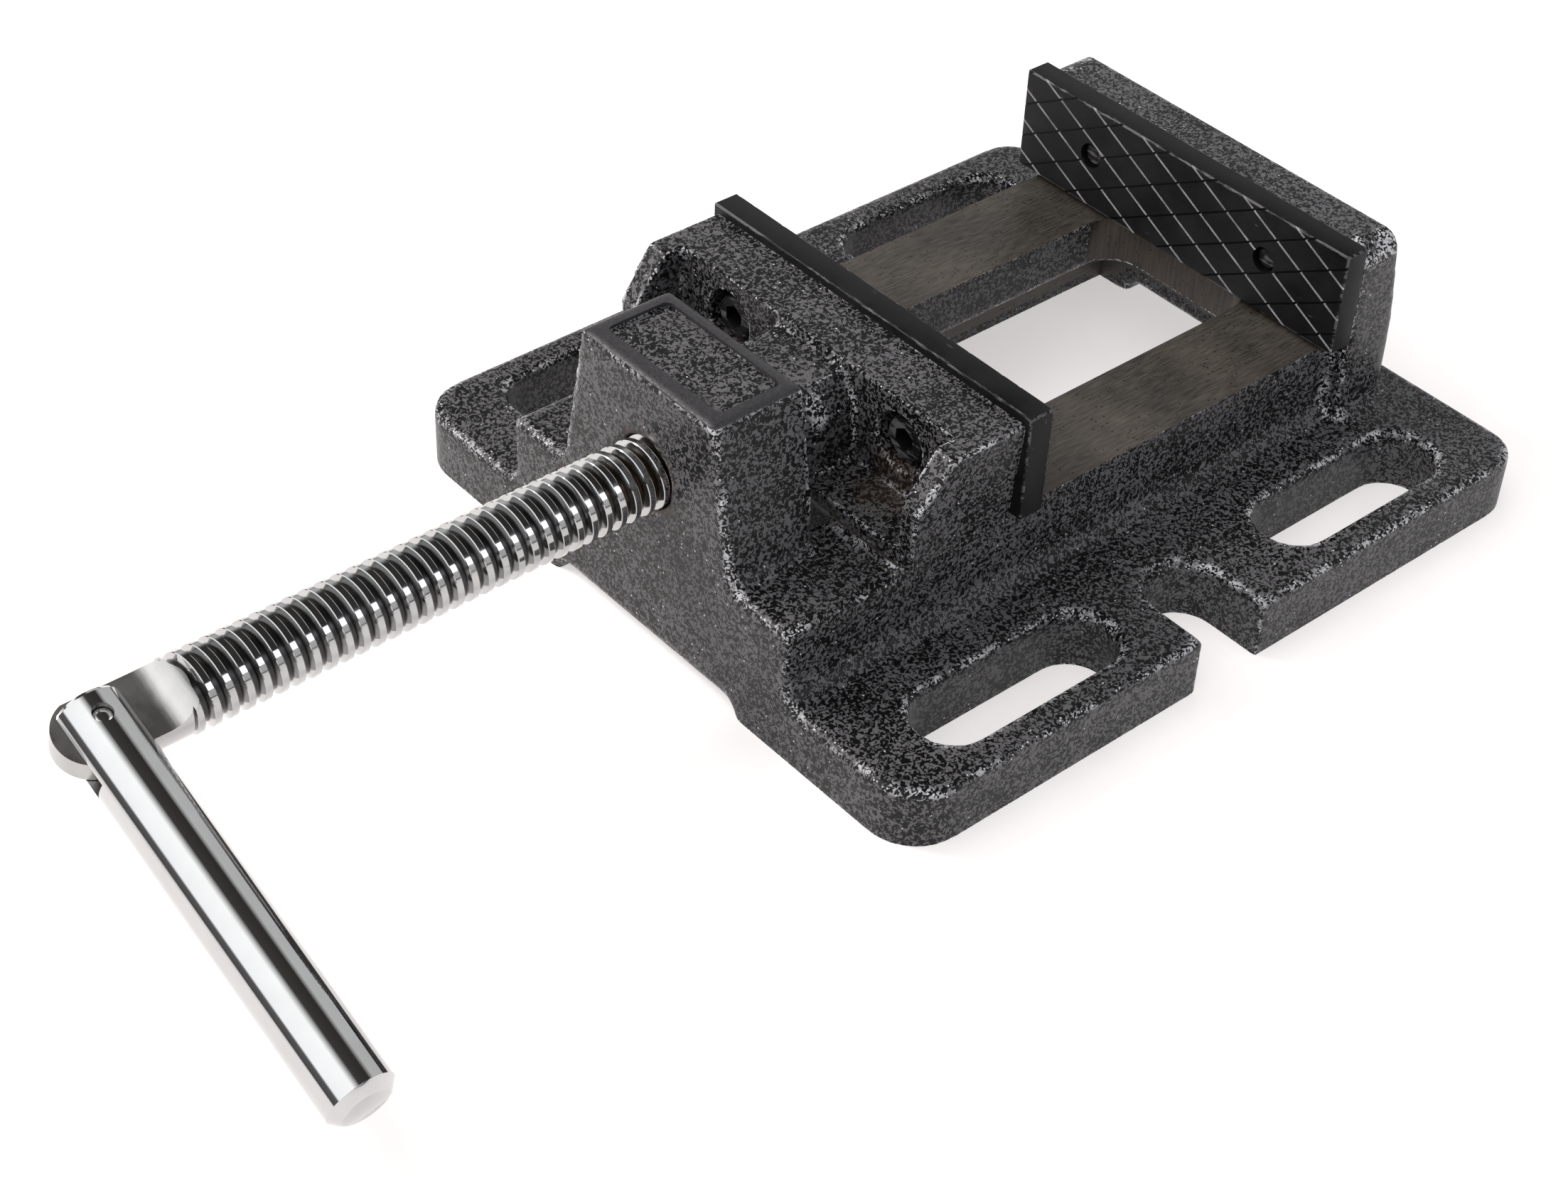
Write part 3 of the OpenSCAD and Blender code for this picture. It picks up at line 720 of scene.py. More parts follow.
def cad_copy(node: str) -> BMesh:
    """Copies a CAD node's mesh, merged and with its flat faces joined.

    Args:
        node: The node.

    Returns:
        A new bmesh.
    """
    bm = bmesh.new()
    bm.from_mesh(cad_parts[node].data)
    bmesh.ops.remove_doubles(bm, verts=bm.verts, dist=1e-6)
    bmesh.ops.dissolve_limit(bm, angle_limit=math.radians(0.5), verts=bm.verts, edges=bm.edges)
    return bm


def shade(piece: Object, sharp: float = 35.0) -> None:
    """Smooths a piece's shading.

    Args:
        piece: The piece.
        sharp: The angle in degrees above which an edge stays sharp.
    """
    mesh = piece.data
    mesh.shade_smooth()
    mesh.set_sharp_from_angle(angle=math.radians(sharp))


def mark_edges(piece: Object, full: float = 14.0, narrow: float = 2.5) -> None:
    """Stores how much the skin bends at each corner, from 0 on flats to 1 on edges and fillets.

    Args:
        piece: The casting.
        full: The mean angle in degrees between neighbouring faces that counts as 1.
        narrow: The widest face in millimetres that can carry a mark.
    """
    bm = bmesh.new()
    bm.from_mesh(piece.data)
    bends = [min(1.0, sum(e.calc_face_angle(0.0) for e in v.link_edges) / max(1, len(v.link_edges))
                 / math.radians(full)) for v in bm.verts]
    bm.verts.ensure_lookup_table()
    spread = [(bends[v.index] + sum(bends[e.other_vert(v).index] for e in v.link_edges))
              / (1 + len(v.link_edges)) for v in bm.verts]
    layer = bm.loops.layers.float.new(EDGE_MARK)
    for face in bm.faces:
        if face.calc_area() / max(e.calc_length() for e in face.edges) > narrow * MM:
            continue
        for loop in face.loops:
            loop[layer] = spread[loop.vert.index]
    bm.to_mesh(piece.data)
    bm.free()


def hand_over(piece: Object, body: Body, slot: Slot, *nodes: str) -> None:
    """Rides a finished piece on its body in place of CAD nodes, and reports it.

    Args:
        piece: The piece.
        body: The body it moves with.
        slot: The record's slot for its finish; not used.
        nodes: The CAD nodes it replaces.
    """
    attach(piece, body.value)
    if nodes:
        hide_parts(*nodes)
    LOG.info("%s rides on %s with %d faces", piece.name, body.value, len(piece.data.polygons))


def box_mm(node: str) -> tuple[Vector, Vector]:
    """The corners of a CAD node in millimetres."""
    low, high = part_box(node)
    return Vector(low) / MM, Vector(high) / MM


# ---------------------------------------------------------------- castings


@dataclass
class Casting:
    """A sand casting: rounded and a little uneven where it is raw, crisp where it is machined."""

    grain: float = 1.0
    softness: int = 5

    def soften(self, name: str, bm: BMesh, paint: Material) -> Object:
        """Joins the stock into one skin and rounds its edges.

        Args:
            name: The piece's name.
            bm: Closed shells that may overlap.
            paint: The finish of the raw skin.

        Returns:
            The softened piece.
        """
        piece = make_piece(name, bm, paint)
        skin = piece.modifiers.new("skin", "REMESH")
        skin.mode = "VOXEL"
        skin.voxel_size = self.grain * MM
        skin.use_smooth_shade = True
        blur = piece.modifiers.new("round", "SMOOTH")
        blur.factor = 0.5
        blur.iterations = self.softness
        settle(piece)
        return piece


@dataclass
class BaseCasting(Casting):
    """The base with its flanges, ways, nut boss and fixed jaw."""

    grain: float = 1.05
    softness: int = 5
    flange: float = 14.5
    body_half: float = 45.2
    way_start: float = -63.5
    seat_x: float = 67.0
    jaw_half: float = 50.0
    jaw_top: float = 61.1
    foot_x: float = 86.0
    boss_rear: float = -70.7
    boss_top: float = 69.2
    boss_foot: float = 27.8
    boss_half: float = 21.2
    shoulder: float = 32.4
    rim: float = 3.2
    panel: float = 1.0
    panel_r: float = 1.6
    corner_r: float = 6.0
    bore: float = 8.35
    channel_half: float = 22.3
    channel_r: float = 8.5
    allowance: float = 2.0
    recess: Pair = (-78.0, 83.0)
    recess_half: float = 39.0
    way_bottom: float = 21.4
    head_seat: float = 73.7
    head_room: float = 5.4

    def stock(self) -> BMesh:
        """Makes the rough shape: the CAD solid with machining allowance and fillets added.

        Returns:
            Closed shells that may overlap.
        """
        bm = cad_copy("base_casting")
        for vert in bm.verts:
            x, _, z = vert.co / MM
            if abs(z - WAY_TOP) < NEAR:
                vert.co.z += self.allowance * MM
            if abs(x - self.seat_x) < 3 * NEAR and z > WAY_TOP + 1:
                vert.co.x -= self.allowance * MM
            if abs(z) < NEAR:
                vert.co.z -= self.allowance * MM
            if abs(z - self.boss_top + self.panel) < NEAR and x < self.boss_rear:
                vert.co.z += self.panel * MM
        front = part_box("base_casting")[0][0] / MM
        # Diamond bars fill the inner corners between two walls
        for side in Side:
            for start, end, half, z, leg in (
                    (front, self.foot_x - 3, self.body_half, self.flange, 3.0),
                    (self.seat_x + 2, self.foot_x - 7, self.jaw_half, self.flange, 2.6),
                    (front + 1, self.boss_rear - 2, self.boss_foot, self.shoulder, 1.4)):
                put_bar(bm, (start, side.value * half, z), (end, side.value * half, z), leg,
                        segments=4)
        put_bar(bm, (self.foot_x, 7 - self.jaw_half, self.flange),
                (self.foot_x, self.jaw_half - 7, self.flange), 2.6, segments=4)
        return bm

    def seat_tool(self, node: str) -> BMesh:
        """Finds the spot face that a cap screw's head seats on.

        Args:
            node: The screw's CAD node.

        Returns:
            The cutter.
        """
        low, high = box_mm(node)
        y, z = (low.y + high.y) / 2, (low.z + high.z) / 2
        return new_bar((self.head_seat, y, z), (high.x, y, z), self.head_room, segments=64)

    def end_tool(self) -> BMesh:
        """Sweeps the milling cutter over the channel's bare rear end.

        Returns:
            The cutter.
        """
        half = self.channel_half - 0.02
        bm = new_box((self.seat_x - 16, -half, 18), (self.seat_x + 0.12, half, WAY_TOP + 3))
        round_posts(bm, self.channel_r - 0.1, 12, beyond=self.seat_x - 7)
        return bm

    def corner_tool(self, side: Side) -> BMesh:
        """Finds what is left outside the fixed jaw's rounded top corner.

        Args:
            side: The side of the corner.

        Returns:
            The cutter.
        """
        across, top = side.value * (self.jaw_half - self.corner_r), self.jaw_top - self.corner_r
        near, far = sorted((across, side.value * (self.jaw_half + 5)))
        low, high = (self.seat_x - 2, near, top), (self.foot_x + 5, far, self.jaw_top + 5)
        start, end = (self.seat_x - 4, across, top), (self.foot_x + 7, across, top)
        return block_less_bar(low, high, start, end, self.corner_r)

    def panel_tool(self) -> BMesh:
        """Sinks the shallow panel in the top of the boss, with rounded corners.

        Returns:
            The cutter.
        """
        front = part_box("base_casting")[0][0] / MM
        wide = self.boss_half - self.rim
        bm = new_box((front + self.rim + 1, -wide, self.boss_top - self.panel),
                     (self.boss_rear - self.rim, wide, self.boss_top + 4))
        round_posts(bm, self.panel_r, 5)
        return bm

    def build(self, paint: Material, ground: Material, under: Material,
              bare: Material) -> Object:
        """Casts, then machines the base.

        Args:
            paint: The finish of the raw skin.
            ground: The finish of the ways.
            under: The finish of the underside and the bore.
            bare: The finish of the channel's rear end.

        Returns:
            The finished piece.
        """
        piece = self.soften("base_casting_painted", self.stock(), paint)
        # The grinder over the ways and the fixed plate's seat, then the miller under the foot
        carve(piece, new_box((self.way_start - 4, -60, WAY_TOP), (self.seat_x, 60, 90)), ground)
        carve(piece, new_box((-200, -200, -20), (200, 200, 0)), under)
        carve(piece, new_bar((-110, 0, SCREW_Z), (self.boss_rear + 2, 0, SCREW_Z), self.bore),
              under)
        # The miller under the ways, where the keeper plate runs
        start, end = self.recess
        carve(piece, new_box((start, -self.recess_half, -PAST),
                             (end, self.recess_half, self.way_bottom)), under)
        for side in Side:
            carve(piece, self.corner_tool(side), paint)
            carve(piece, self.seat_tool(f"fixed_jaw_screw_{side.name.lower()}"), under)
        carve(piece, self.panel_tool(), paint)
        carve(piece, self.end_tool(), bare)
        mark_edges(piece)
        shade(piece)
        hand_over(piece, Body.BASE, Slot.PAINT, "base_casting")
        return piece


@dataclass
class SlidingCasting(Casting):
    """The sliding jaw's casting with its pockets, bridge and guide block."""

    grain: float = 0.66
    softness: int = 3
    tongue_half: float = 22.15
    allowance: float = 2.0
    tap_gap: float = 0.03
    pin_r: float = 2.0
    bolt_r: float = 3.0

    def hole_tool(self, node: str, radius: float) -> BMesh:
        """Sends the drill up from below for one upright pin or bolt.

        Args:
            node: The pin's or bolt's CAD node.
            radius: Its radius in millimetres.

        Returns:
            The cutter.
        """
        low, high = box_mm(node)
        x, y = (low.x + high.x) / 2, (low.y + high.y) / 2
        return new_bar((x, y, low.z - PAST), (x, y, high.z + self.tap_gap), radius + self.tap_gap,
                       segments=48)

    def build(self, paint: Material, ground: Material) -> Object:
        """Casts, then machines the jaw.

        Args:
            paint: The finish of the raw skin.
            ground: The finish of the machined faces.

        Returns:
            The finished piece.
        """
        bm = cad_copy("moving_jaw")
        low, high = box_mm("moving_jaw")
        for vert in bm.verts:
            x, y, z = vert.co / MM
            if abs(x - high.x) < NEAR:
                vert.co.x += self.allowance * MM
            if abs(z - WAY_TOP) < NEAR and abs(y) > self.tongue_half + 1:
                vert.co.z -= self.allowance * MM
        piece = self.soften("sliding_jaw_painted", bm, paint)
        carve(piece, new_box((high.x, -70, 0), (high.x + PAST, 70, 90)), ground)
        for side in Side:
            near, far = sorted((side.value * (self.tongue_half + 0.05), side.value * 70))
            carve(piece, new_box((low.x - PAST, near, 0), (high.x + PAST, far, WAY_TOP + 0.02)),
                  ground)
            carve(piece, self.hole_tool(f"nose_pin_{side.name.lower()}", self.pin_r), ground)
        for end in ("front", "rear"):
            carve(piece, self.hole_tool(f"keeper_bolt_{end}", self.bolt_r), ground)
        mark_edges(piece)
        shade(piece)
        hand_over(piece, Body.SLIDING_JAW, Slot.PAINT, "moving_jaw")
        return piece


# ---------------------------------------------------------------- jaw plates and screws


@dataclass
class JawPlate:
    """A ground, blacked steel plate with crossing grooves cut in its clamping face."""

    node: str
    body: Body
    facing: int
    steps: Pair = (14.8, 15.7)
    tilts: Pair = (-29.9, 27.8)
    shifts: Pair = (-3.1, 3.7)
    groove: float = 0.5
    depth: float = 0.35
    hole: float = 3.1

    def grooves(self, family: int) -> BMesh:
        """One family of parallel grooves.

        Args:
            family: 0 for those that fall towards +Y, 1 for those that climb towards it.

        Returns:
            The cutters, as long thin bars.
        """
        low, high = box_mm(self.node)
        face = high.x if self.facing > 0 else low.x
        middle = (low.z + high.z) / 2
        step, shift = self.steps[family], self.shifts[family]
        tilt = math.radians(self.tilts[family])
        bm = bmesh.new()
        count = int((high.y - low.y) / step) // 2 + 3
        for i in range(-count, count + 1):
            verts = bmesh.ops.create_cube(bm, size=1.0)["verts"]
            bmesh.ops.scale(bm, verts=verts, vec=(2 * self.depth * MM, 90 * MM, self.groove * MM))
            bmesh.ops.rotate(bm, verts=verts, cent=(0, 0, 0), matrix=Matrix.Rotation(tilt, 3, "X"))
            bmesh.ops.translate(bm, verts=verts, vec=Vector((face, shift + i * step, middle)) * MM)
        return bm

    def build(self, oxide: Material, bright: Material,
              dull: Material) -> Object:
        """Cuts the plate's holes and grooves.

        Args:
            oxide: The finish of the plate.
            bright: The finish of the grooves that fall towards the right, painted pale as a painted
                highlight.
            dull: The finish of the screw holes and of the other grooves, darker than the plate as
                painted shade.

        Returns:
            The finished piece.
        """
        low, high = box_mm(self.node)
        bm = new_box(low, high)
        round_edges(bm, 0.45)
        piece = make_piece(self.node + "_grooved", bm, oxide)
        for side in Side:
            y = side.value * PLATE_SCREW_Y
            start, end = (low.x - 1, y, PLATE_SCREW_Z), (high.x + 1, y, PLATE_SCREW_Z)
            carve(piece, new_bar(start, end, self.hole, segments=64), dull)
        # One groove family is painted near-black as painted shade, the other pale as a painted
        # highlight
        for family, finish in enumerate((dull, bright)):
            carve(piece, self.grooves(family), finish)
        mark_edges(piece, full=10.0, narrow=0.3)
        shade(piece, 30.0)
        hand_over(piece, self.body, Slot.OXIDE, self.node)
        return piece


@dataclass
class CapScrew:
    """A socket head cap screw."""

    node: str
    body: Body
    points: int
    head_r: float = 5.0
    head: float = 6.0
    shank_r: float = 3.0
    flats: float = 5.0
    socket: float = 3.0

    def build(self, oxide: Material) -> Object:
        """Turns the screw and cuts its hexagon socket.

        Args:
            oxide: The finish of the screw.

        Returns:
            The finished piece.
        """
        low, high = box_mm(self.node)
        y, z = (low.y + high.y) / 2, (low.z + high.z) / 2
        top = low.x if self.points > 0 else high.x
        tip = high.x if self.points > 0 else low.x
        way = self.points
        bm = bmesh.new()
        put_turned(bm,
                   [(top, 0.0), (top, self.head_r - 0.7), (top + way * 0.2, self.head_r - 0.25),
                    (top + way * 0.7, self.head_r), (top + way * (self.head - 0.2), self.head_r),
                    (top + way * self.head, self.head_r - 0.2),
                    (top + way * self.head, self.shank_r), (tip - way * 0.8, self.shank_r),
                    (tip, self.shank_r - 0.7), (tip, 0.0),], steps=64)
        bmesh.ops.translate(bm, verts=bm.verts, vec=(0, y * MM, z * MM))
        piece = make_piece(self.node + "_turned", bm, oxide)
        key = new_bar((top - way, y, z), (top + way * self.socket, y, z), self.flats / math.sqrt(3),
                      segments=6)
        carve(piece, key, oxide)
        mark_edges(piece)
        shade(piece, 30.0)
        hand_over(piece, self.body, Slot.OXIDE, self.node)
        return piece


# ---------------------------------------------------------------- screw and handle


@dataclass
class LeadScrew:
    """The lead screw: real helical thread, plain grooved nose, and a milled tongue."""

    major: float = 8.0
    depth: float = 1.6
    pitch: float = 3.6
    crest: float = 0.42
    root: float = 0.34
    start: float = -203.1
    end: float = -68.3
    nose_r: float = 6.0
    nose: float = 26.0
    groove_at: float = 11.0
    groove: float = 4.3
    groove_depth: float = 1.6
    tongue_r: float = 7.6
    tongue_end: float = 9.4
    tongue: float = 5.0
    cutter: float = 9.0
    pin_r: float = 2.1
    # How far the thread's corners are softened
    soft: float = 0.14

    def ridge(self) -> list[Pair]:
        """Draws one pitch of the thread's outline, with softened root and crest corners.

        Returns:
            Points as (along, radius) in millimetres.
        """
        low, high = self.major - self.depth, self.major
        flank = self.pitch * (1 - self.crest - self.root) / 2
        half = self.pitch * self.root / 2
        top = self.pitch * self.crest
        return [(0.0, low), (half - 0.12, low), (half, low + self.soft),
                (half + flank - 0.03, high - self.soft), (half + flank + self.soft, high),
                (half + flank + top - self.soft, high),
                (half + flank + top + 0.03, high - self.soft), (self.pitch - half, low + self.soft),
                (self.pitch - half + 0.12, low), (self.pitch, low),]

    def thread(self, steps: int = 60) -> BMesh:
        """Sweeps the ridge along a helix and closes it at both ends.

        Args:
            steps: The facets in a turn.

        Returns:
            A new bmesh.
        """
        bm = bmesh.new()
        turns = math.ceil((self.end - self.start) / self.pitch) + 2
        origin = self.start - 1.5 * self.pitch
        verts = [bm.verts.new(((origin + x) * MM, 0.0, r * MM)) for x, r in self.ridge()]
        edges = [bm.edges.new(pair) for pair in zip(verts, verts[1:])]
        bmesh.ops.spin(bm, geom=verts + edges, cent=(0, 0, 0), axis=(1, 0, 0),
                       angle=math.tau * turns, steps=steps * turns,
                       dvec=(self.pitch * MM / steps, 0, 0), use_merge=False, use_duplicate=False)
        bmesh.ops.remove_doubles(bm, verts=bm.verts, dist=2e-6)
        for x, normal in ((self.start, (-1, 0, 0)), (self.end, (1, 0, 0))):
            everything = bm.verts[:] + bm.edges[:] + bm.faces[:]
            cut = bmesh.ops.bisect_plane(bm, geom=everything, dist=1e-7, plane_co=(x * MM, 0, 0),
                                         plane_no=normal, clear_outer=True)
            ring = [e for e in cut["geom_cut"] if isinstance(e, BMEdge)]
            bmesh.ops.contextual_create(bm, geom=ring)
        bmesh.ops.recalc_face_normals(bm, faces=bm.faces)
        return bm

    def nose_part(self) -> BMesh:
        """Turns the plain nose with its retaining groove.

        Returns:
            A new bmesh.
        """
        bm = bmesh.new()
        at = self.end + self.groove_at - self.groove / 2
        tip = self.end + self.nose
        put_turned(bm,
                   [(self.end - 2, 0.0), (self.end - 2, self.nose_r), (at, self.nose_r),
                    (at, self.nose_r - self.groove_depth),
                    (at + self.groove, self.nose_r - self.groove_depth),
                    (at + self.groove, self.nose_r), (tip - 1, self.nose_r), (tip, self.nose_r - 1),
                    (tip, 0.0),], steps=96)
        return bm

    def tongue_part(self) -> BMesh:
        """Turns the round stub that the tongue is milled from.

        Returns:
            A new bmesh.
        """
        bm = bmesh.new()
        low = self.major - self.depth
        put_turned(bm, [(PIN_X - self.tongue_end, 0.0), (PIN_X - self.tongue_end, self.tongue_r),
                        (self.start - 0.5, self.tongue_r), (self.start + 0.3, self.tongue_r - 0.7),
                        (self.start + 1.2, low), (self.start + 1.2, 0.0),])
        return bm

    def flat_tool(self, side: Side) -> BMesh:
        """Sweeps the milling cutter over one flat of the tongue, with its round run-out.

        Args:
            side: The side of the flat.

        Returns:
            The cutter.
        """
        height = side.value * (self.tongue / 2 + self.cutter)
        end = PIN_X + self.tongue_r + 2
        bm = new_bar((end, -30, height), (end, 30, height), self.cutter, segments=160)
        front = [v for v in bm.verts if v.co.x < end * MM]
        bmesh.ops.translate(bm, verts=front, vec=(-40 * MM, 0, 0))
        return bm

    def end_tool(self) -> BMesh:
        """Finds what is left outside the tongue's round end.

        Returns:
            The cutter.
        """
        middle = PIN_X - self.tongue_end + self.tongue_r
        return block_less_bar((PIN_X - 30, -30, -10), (middle, 30, 10),
                              (middle, 0, -12), (middle, 0, 12), self.tongue_r)

    def build(self, chrome: Material, milled: Material) -> Object:
        """Joins thread, nose and tongue and mills the tongue.

        Args:
            chrome: The finish of the turned surfaces.
            milled: The finish of the milled flats.

        Returns:
            The finished piece.
        """
        piece = make_piece("lead_screw_threaded", self.thread(), chrome)
        carve(piece, self.tongue_part(), chrome, "UNION")
        carve(piece, self.nose_part(), chrome, "UNION")
        for side in Side:
            carve(piece, self.flat_tool(side), milled)
        carve(piece, self.end_tool(), milled)
        carve(piece, new_bar((PIN_X, 0, -20), (PIN_X, 0, 20), self.pin_r, segments=48), milled)
        raise_piece(piece)
        shade(piece, 25.0)
        hand_over(piece, Body.SCREW, Slot.CHROME, "lead_screw")
        return piece


@dataclass
class Handle:
    """The folding bar handle with its forked end, and its peened pin."""

    radius: float = 7.0
    cheek: float = 5.6
    reach: float = 86.4
    slot: float = 5.5
    slot_depth: float = 11.0
    chamfer: float = 2.0
    pin_r: float = 2.03
    pin_recess: float = 1.2

    def bar(self) -> BMesh:
        """Turns the bar along Y.

        Returns:
            A new bmesh.
        """
        bm = bmesh.new()
        length = self.cheek + self.reach
        r = self.radius
        put_turned(bm, [(0, 0), (0, r - 0.9), (0.25, r - 0.4), (0.9, r), (length - self.chamfer, r),
                        (length - 0.3, r - self.chamfer + 0.35), (length, r - self.chamfer - 0.3),
                        (length, 0),], steps=160)
        bmesh.ops.rotate(bm, verts=bm.verts, cent=(0, 0, 0),
                         matrix=Matrix.Rotation(math.radians(-90), 3, "Z"))
        bmesh.ops.translate(bm, verts=bm.verts, vec=(0, self.cheek * MM, 0))
        return bm

    def build(self, chrome: Material, milled: Material) -> Object:
        """Turns the bar and mills its fork.

        Args:
            chrome: The finish of the bar.
            milled: The finish of the fork's slot.

        Returns:
            The finished piece.
        """
        piece = make_piece("handle_turned", self.bar(), chrome)
        carve(piece, new_box((-20, -self.slot_depth, -self.slot / 2),
                             (20, self.cheek + 5, self.slot / 2)), milled)
        carve(piece, new_bar((0, 0, -20), (0, 0, 20), self.pin_r, segments=48), milled)
        raise_piece(piece, PIN_X)
        shade(piece, 30.0)
        hand_over(piece, Body.BAR, Slot.CHROME, "handle")
        return piece

    def pin(self, chrome: Material) -> Object:
        """Turns the pin with its two domed ends.

        Args:
            chrome: The finish of the pin.

        Returns:
            The finished piece.
        """
        half = self.radius - self.pin_recess
        r = self.pin_r - 0.03
        bm = bmesh.new()
        put_turned(bm,
                   [(-half, 0), (-half + 0.05, r - 0.9), (-half + 0.3, r - 0.25), (-half + 0.6, r),
                    (half - 0.6, r), (half - 0.3, r - 0.25), (half - 0.05, r - 0.9), (half, 0)],
                   steps=48)
        bmesh.ops.rotate(bm, verts=bm.verts, cent=(0, 0, 0),
                         matrix=Matrix.Rotation(math.radians(-90), 3, "Y"))
        raise_up(bm, PIN_X)
        piece = make_piece("handle_pin_peened", bm, chrome)
        shade(piece, 50.0)
        hand_over(piece, Body.SCREW, Slot.CHROME, "handle_pin")
        return piece


@dataclass
class SmallSteel:
    """Keeper, bolts, washers and pins: the CAD shapes with broken edges."""

    edge: float = 0.3

    def build(self, node: str, steel: Material) -> Object:
        """Breaks the edges of one part.

        Args:
            node: The CAD node.
            steel: Its finish.

        Returns:
            The finished piece.
        """
        bm = cad_copy(node)
        round_edges(bm, self.edge, segments=2)
        piece = make_piece(node + "_finished", bm, steel)
        shade(piece, 30.0)
        hand_over(piece, Body.SLIDING_JAW, Slot.STEEL, node)
        return piece


# ---------------------------------------------------------------- studio


@dataclass
class Studio:
    """Pale floor, soft lights and the camera."""

    eye: Point = (-378.3, -357.3, 402.7)
    azimuth: float = 47.79
    elevation: float = 40.45
    roll: float = 2.87
    lens: float = 65.64
    glow: float = 1.75
    # The room's bands: half turns from the right horizon over the top to the left one, and colours
    bands: tuple[tuple[float, str], ...] = (
        (0.0, "#434344"), (0.02, "#434344"), (0.045, "#acacad"), (0.25, "#b0b0b0"),
        (0.32, "#2e2c2b"), (0.5, "#3a3837"), (0.57, "#d8d8d8"), (0.6, "#ffffff"),
        (0.87, "#f6f6f8"), (0.9, "#565555"), (1.0, "#474647"))

    def floor(self) -> None:
        """Lays the paper sweep."""
        bm = bmesh.new()
        bmesh.ops.create_grid(bm, x_segments=1, y_segments=1, size=4.0)
        piece = make_piece("floor", bm, PaleFloor().make())

    def camera(self) -> None:
        """Places the camera by its height, bearing, dip and roll."""
        az, el, roll = (math.radians(v) for v in (self.azimuth, self.elevation, self.roll))
        ahead = Vector((math.cos(el) * math.cos(az), math.cos(el) * math.sin(az), -math.sin(el)))
        right = ahead.cross(Vector((0, 0, 1))).normalized()
        up = right.cross(ahead)
        rolled = right * math.cos(roll) + up * math.sin(roll)
        risen = up * math.cos(roll) - right * math.sin(roll)
        data = bpy.data.cameras.new("camera")
        data.lens = self.lens
        data.sensor_width = 36.0
        data.clip_start = 0.01
        camera = bpy.data.objects.new("camera", data)
        turn = Matrix((rolled, risen, -ahead)).transposed().to_4x4()
        camera.matrix_world = Matrix.Translation(Vector(self.eye) * MM) @ turn
        bpy.context.scene.collection.objects.link(camera)
        bpy.context.scene.camera = camera

    def light(self, name: str, at: Point, towards: Point,
              size: Pair, power: float, colour: str, mirrored: bool = True) -> None:
        """Hangs one softbox.

        Args:
            name: The light's name.
            at: Its place in metres.
            towards: The point that it faces, in metres.
            size: Its width and height in metres.
            power: Its power in watts.
            colour: Its hex colour.
            mirrored: Whether bright metal mirrors it.
        """
        data = bpy.data.lights.new(name, "AREA")
        data.shape = "RECTANGLE"
        data.size, data.size_y = size
        data.energy = power
        data.color = linear(colour)[:3]
        lamp = bpy.data.objects.new(name, data)
        way = Vector(towards) - Vector(at)
        lamp.rotation_euler = way.to_track_quat("-Z", "Y").to_euler()
        lamp.location = at
        lamp.visible_glossy = mirrored
        bpy.context.scene.collection.objects.link(lamp)

    def world(self) -> None:
        """Surrounds the vise with a room: bright on the left, grey on the right, dark overhead."""
        made = bpy.data.worlds.new("studio")
        bpy.context.scene.world = made
        made.use_nodes = True
        tree = made.node_tree
        tree.nodes.clear()
        ray = add(tree, "TexCoord").outputs["Generated"]
        axes = add(tree, "SeparateXYZ", {0: ray})
        around = add(tree, "Math", {0: axes.outputs[2], 1: axes}, operation="ARCTAN2")
        turn = add(tree, "Math", {0: around, 1: 1 / math.pi}, operation="MULTIPLY")
        colour = add(tree, "ValToRGB", {0: turn}, stops=self.bands)
        back = add(tree, "Background", {"Color": colour, "Strength": self.glow})
        add(tree, "OutputWorld", {"Surface": back})

    def build(self) -> None:
        """Sets up the whole studio."""
        self.floor()
        self.camera()
        self.world()
        self.light("key_softbox", (-0.3, 0.35, 0.45), (0, 0, 0.02), (0.2, 0.2), 2.6, "#fff9f4")
        self.light("top_softbox", (0.1, 0.25, 1.2), (0, 0, 0), (0.5, 0.5), 2.2, "#fffdfb",
                   mirrored=False)
        self.light("right_softbox", (0.3, -0.85, 0.6), (0, 0, 0.03), (0.35, 0.35), 1.2, "#f4f4ff")
        view = bpy.context.scene.view_settings
        view.view_transform = "Standard"


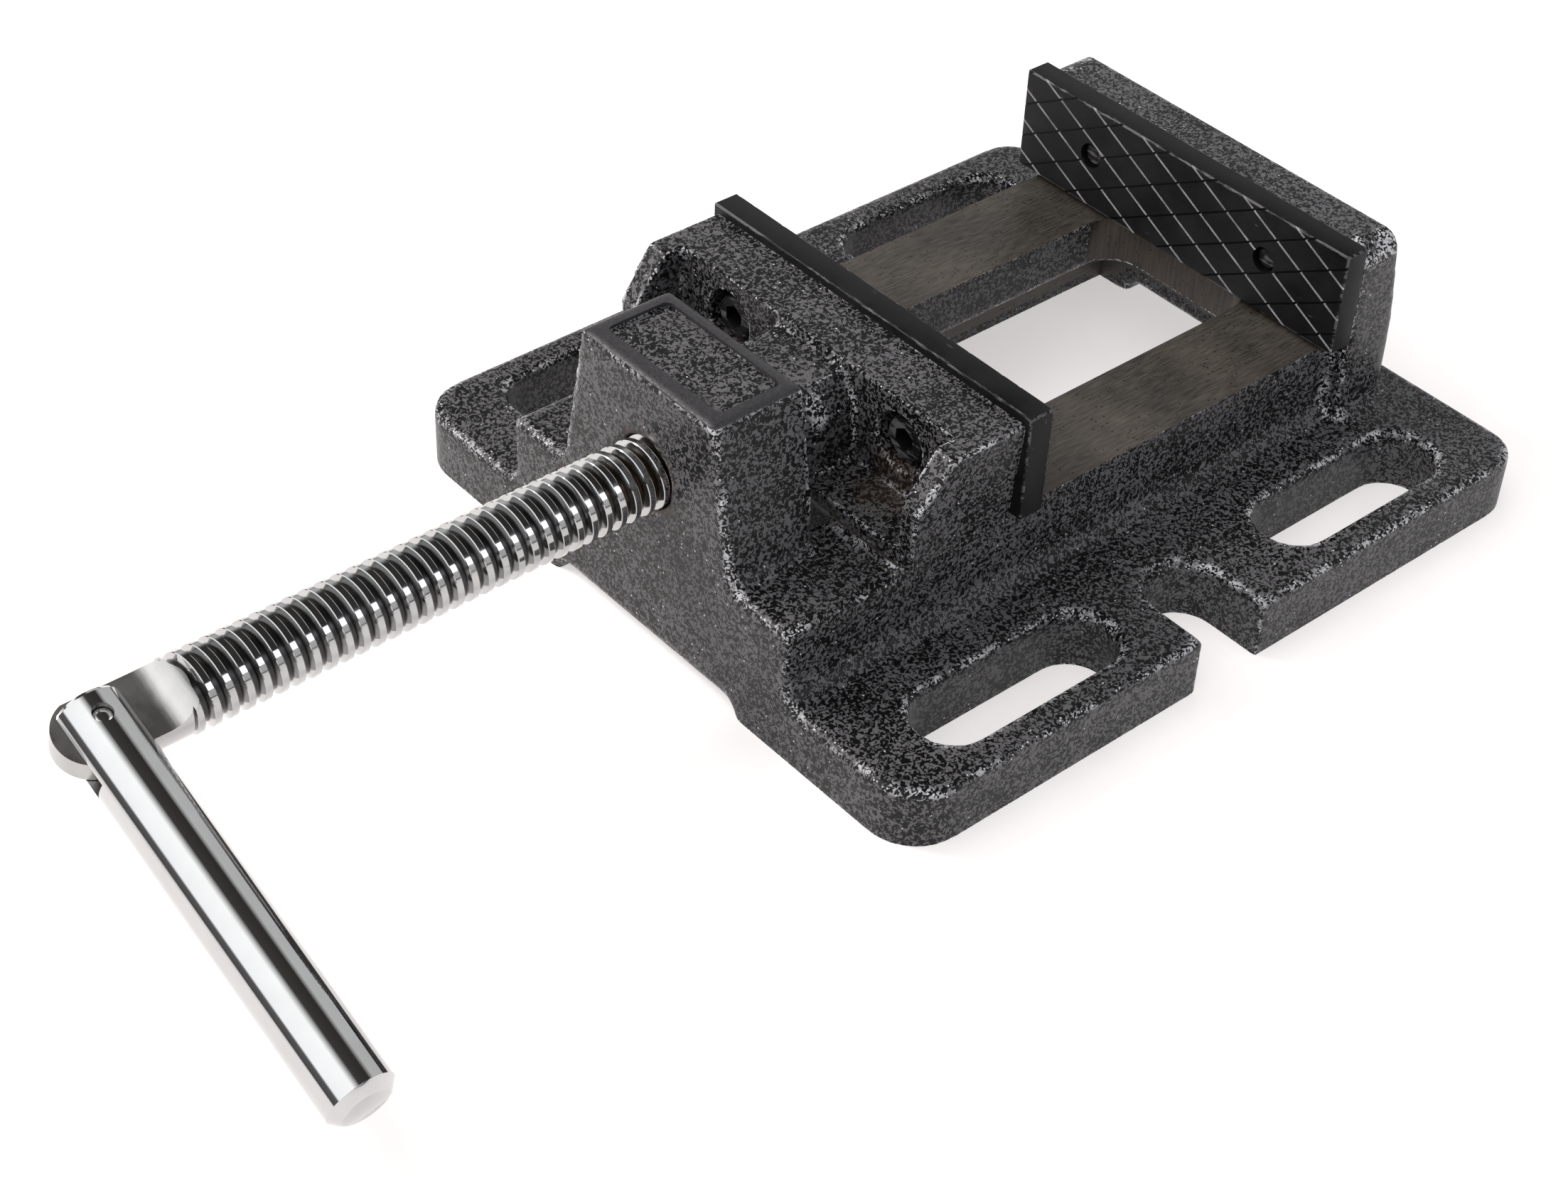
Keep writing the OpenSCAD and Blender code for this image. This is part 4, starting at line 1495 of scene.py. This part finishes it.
def main() -> None:
    """Builds the pieces in order and reports each one."""
    logging.basicConfig(level=logging.INFO, format="%(message)s")
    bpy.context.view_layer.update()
    screw_mouth = Spot((-94.0, 0.0, SCREW_Z), 9.0, 0.85)
    pockets = tuple(Spot((-53.0, side.value * PLATE_SCREW_Y, 41.0), 7.0, 0.3) for side in Side)
    # Painted highlights on the bevels either side of the jaw's bridge
    bridge_painted_glints = tuple(Spot((-61.0, side.value * 12.6, 53.0), 7.0, 0.75) for side in Side)
    base_paint = HammertonePaint(name="speckled_hammertone_base", rim_z=68.7,
                                 stains=(screw_mouth,)).make()
    jaw_paint = HammertonePaint(name="speckled_hammertone_jaw", stains=pockets,
                                painted_glints=bridge_painted_glints).make()
    ways = GroundIron().make()
    under = GroundIron(name="milled_cast_iron", dark="#3b3835", pale="#5a554f",
                       roughness=(0.4, 0.6)).make()
    oxide = BlackOxide().make()
    # The two groove finishes: pale as a painted highlight, near-black as painted shade
    bright = OiledSteel(name="groove_burnished", dark="#7c7c7e", pale="#b2b2b4",
                        metallic=0.15).make()
    dull = BlackOxide(name="groove_blacked", dark="#050505", pale="#0a0a0b",
                      rubbed="#1d1c1e").make()
    chrome = BrightChrome().make()
    # The thread's roots darkened with oil and painted shade
    thread = BrightChrome(name="bright_chrome_oily_thread", colour="#a9aaab", oil_and_shade_below=6.65,
                          roughness=(0.07, 0.14)).make()
    barred = BrightChrome(name="bright_chrome_turned_bar", mark_mm=0.7, marks=(0.02, 1.0, 0.02),
                          depth=0.4).make()
    milled = BrightChrome(name="milled_chrome", colour="#a3a2a0", roughness=(0.26, 0.32),
                          mark_mm=0.35, marks=(1.0, 0.05, 0.05), depth=1.0).make()
    steel = OiledSteel().make()
    bare = GroundIron(name="bare_milled_iron", dark="#211c18", pale="#463d34", line_mm=0.8,
                      along=(1.0, 1.0, 0.06), metallic=0.5, roughness=(0.28, 0.45)).make()
    BaseCasting().build(base_paint, ways, under, bare)
    SlidingCasting().build(jaw_paint, under)
    JawPlate("fixed_jaw_plate", Body.BASE, -1).build(oxide, bright, dull)
    JawPlate("moving_jaw_plate", Body.SLIDING_JAW, 1).build(oxide, bright, dull)
    for side in Side:
        name = side.name.lower()
        CapScrew(f"fixed_jaw_screw_{name}", Body.BASE, -1).build(oxide)
        CapScrew(f"moving_jaw_screw_{name}", Body.SLIDING_JAW, 1).build(oxide)
    LeadScrew().build(thread, milled)
    handle = Handle()
    handle.build(barred, milled)
    handle.pin(chrome)
    for node in ("keeper_plate", "keeper_bolt_front", "keeper_bolt_rear", "keeper_washer_front",
                 "keeper_washer_rear", "nose_pin_left", "nose_pin_right", "thrust_washer"):
        SmallSteel().build(node, steel)
    Studio().build()


if __name__ == "__main__":
    main()
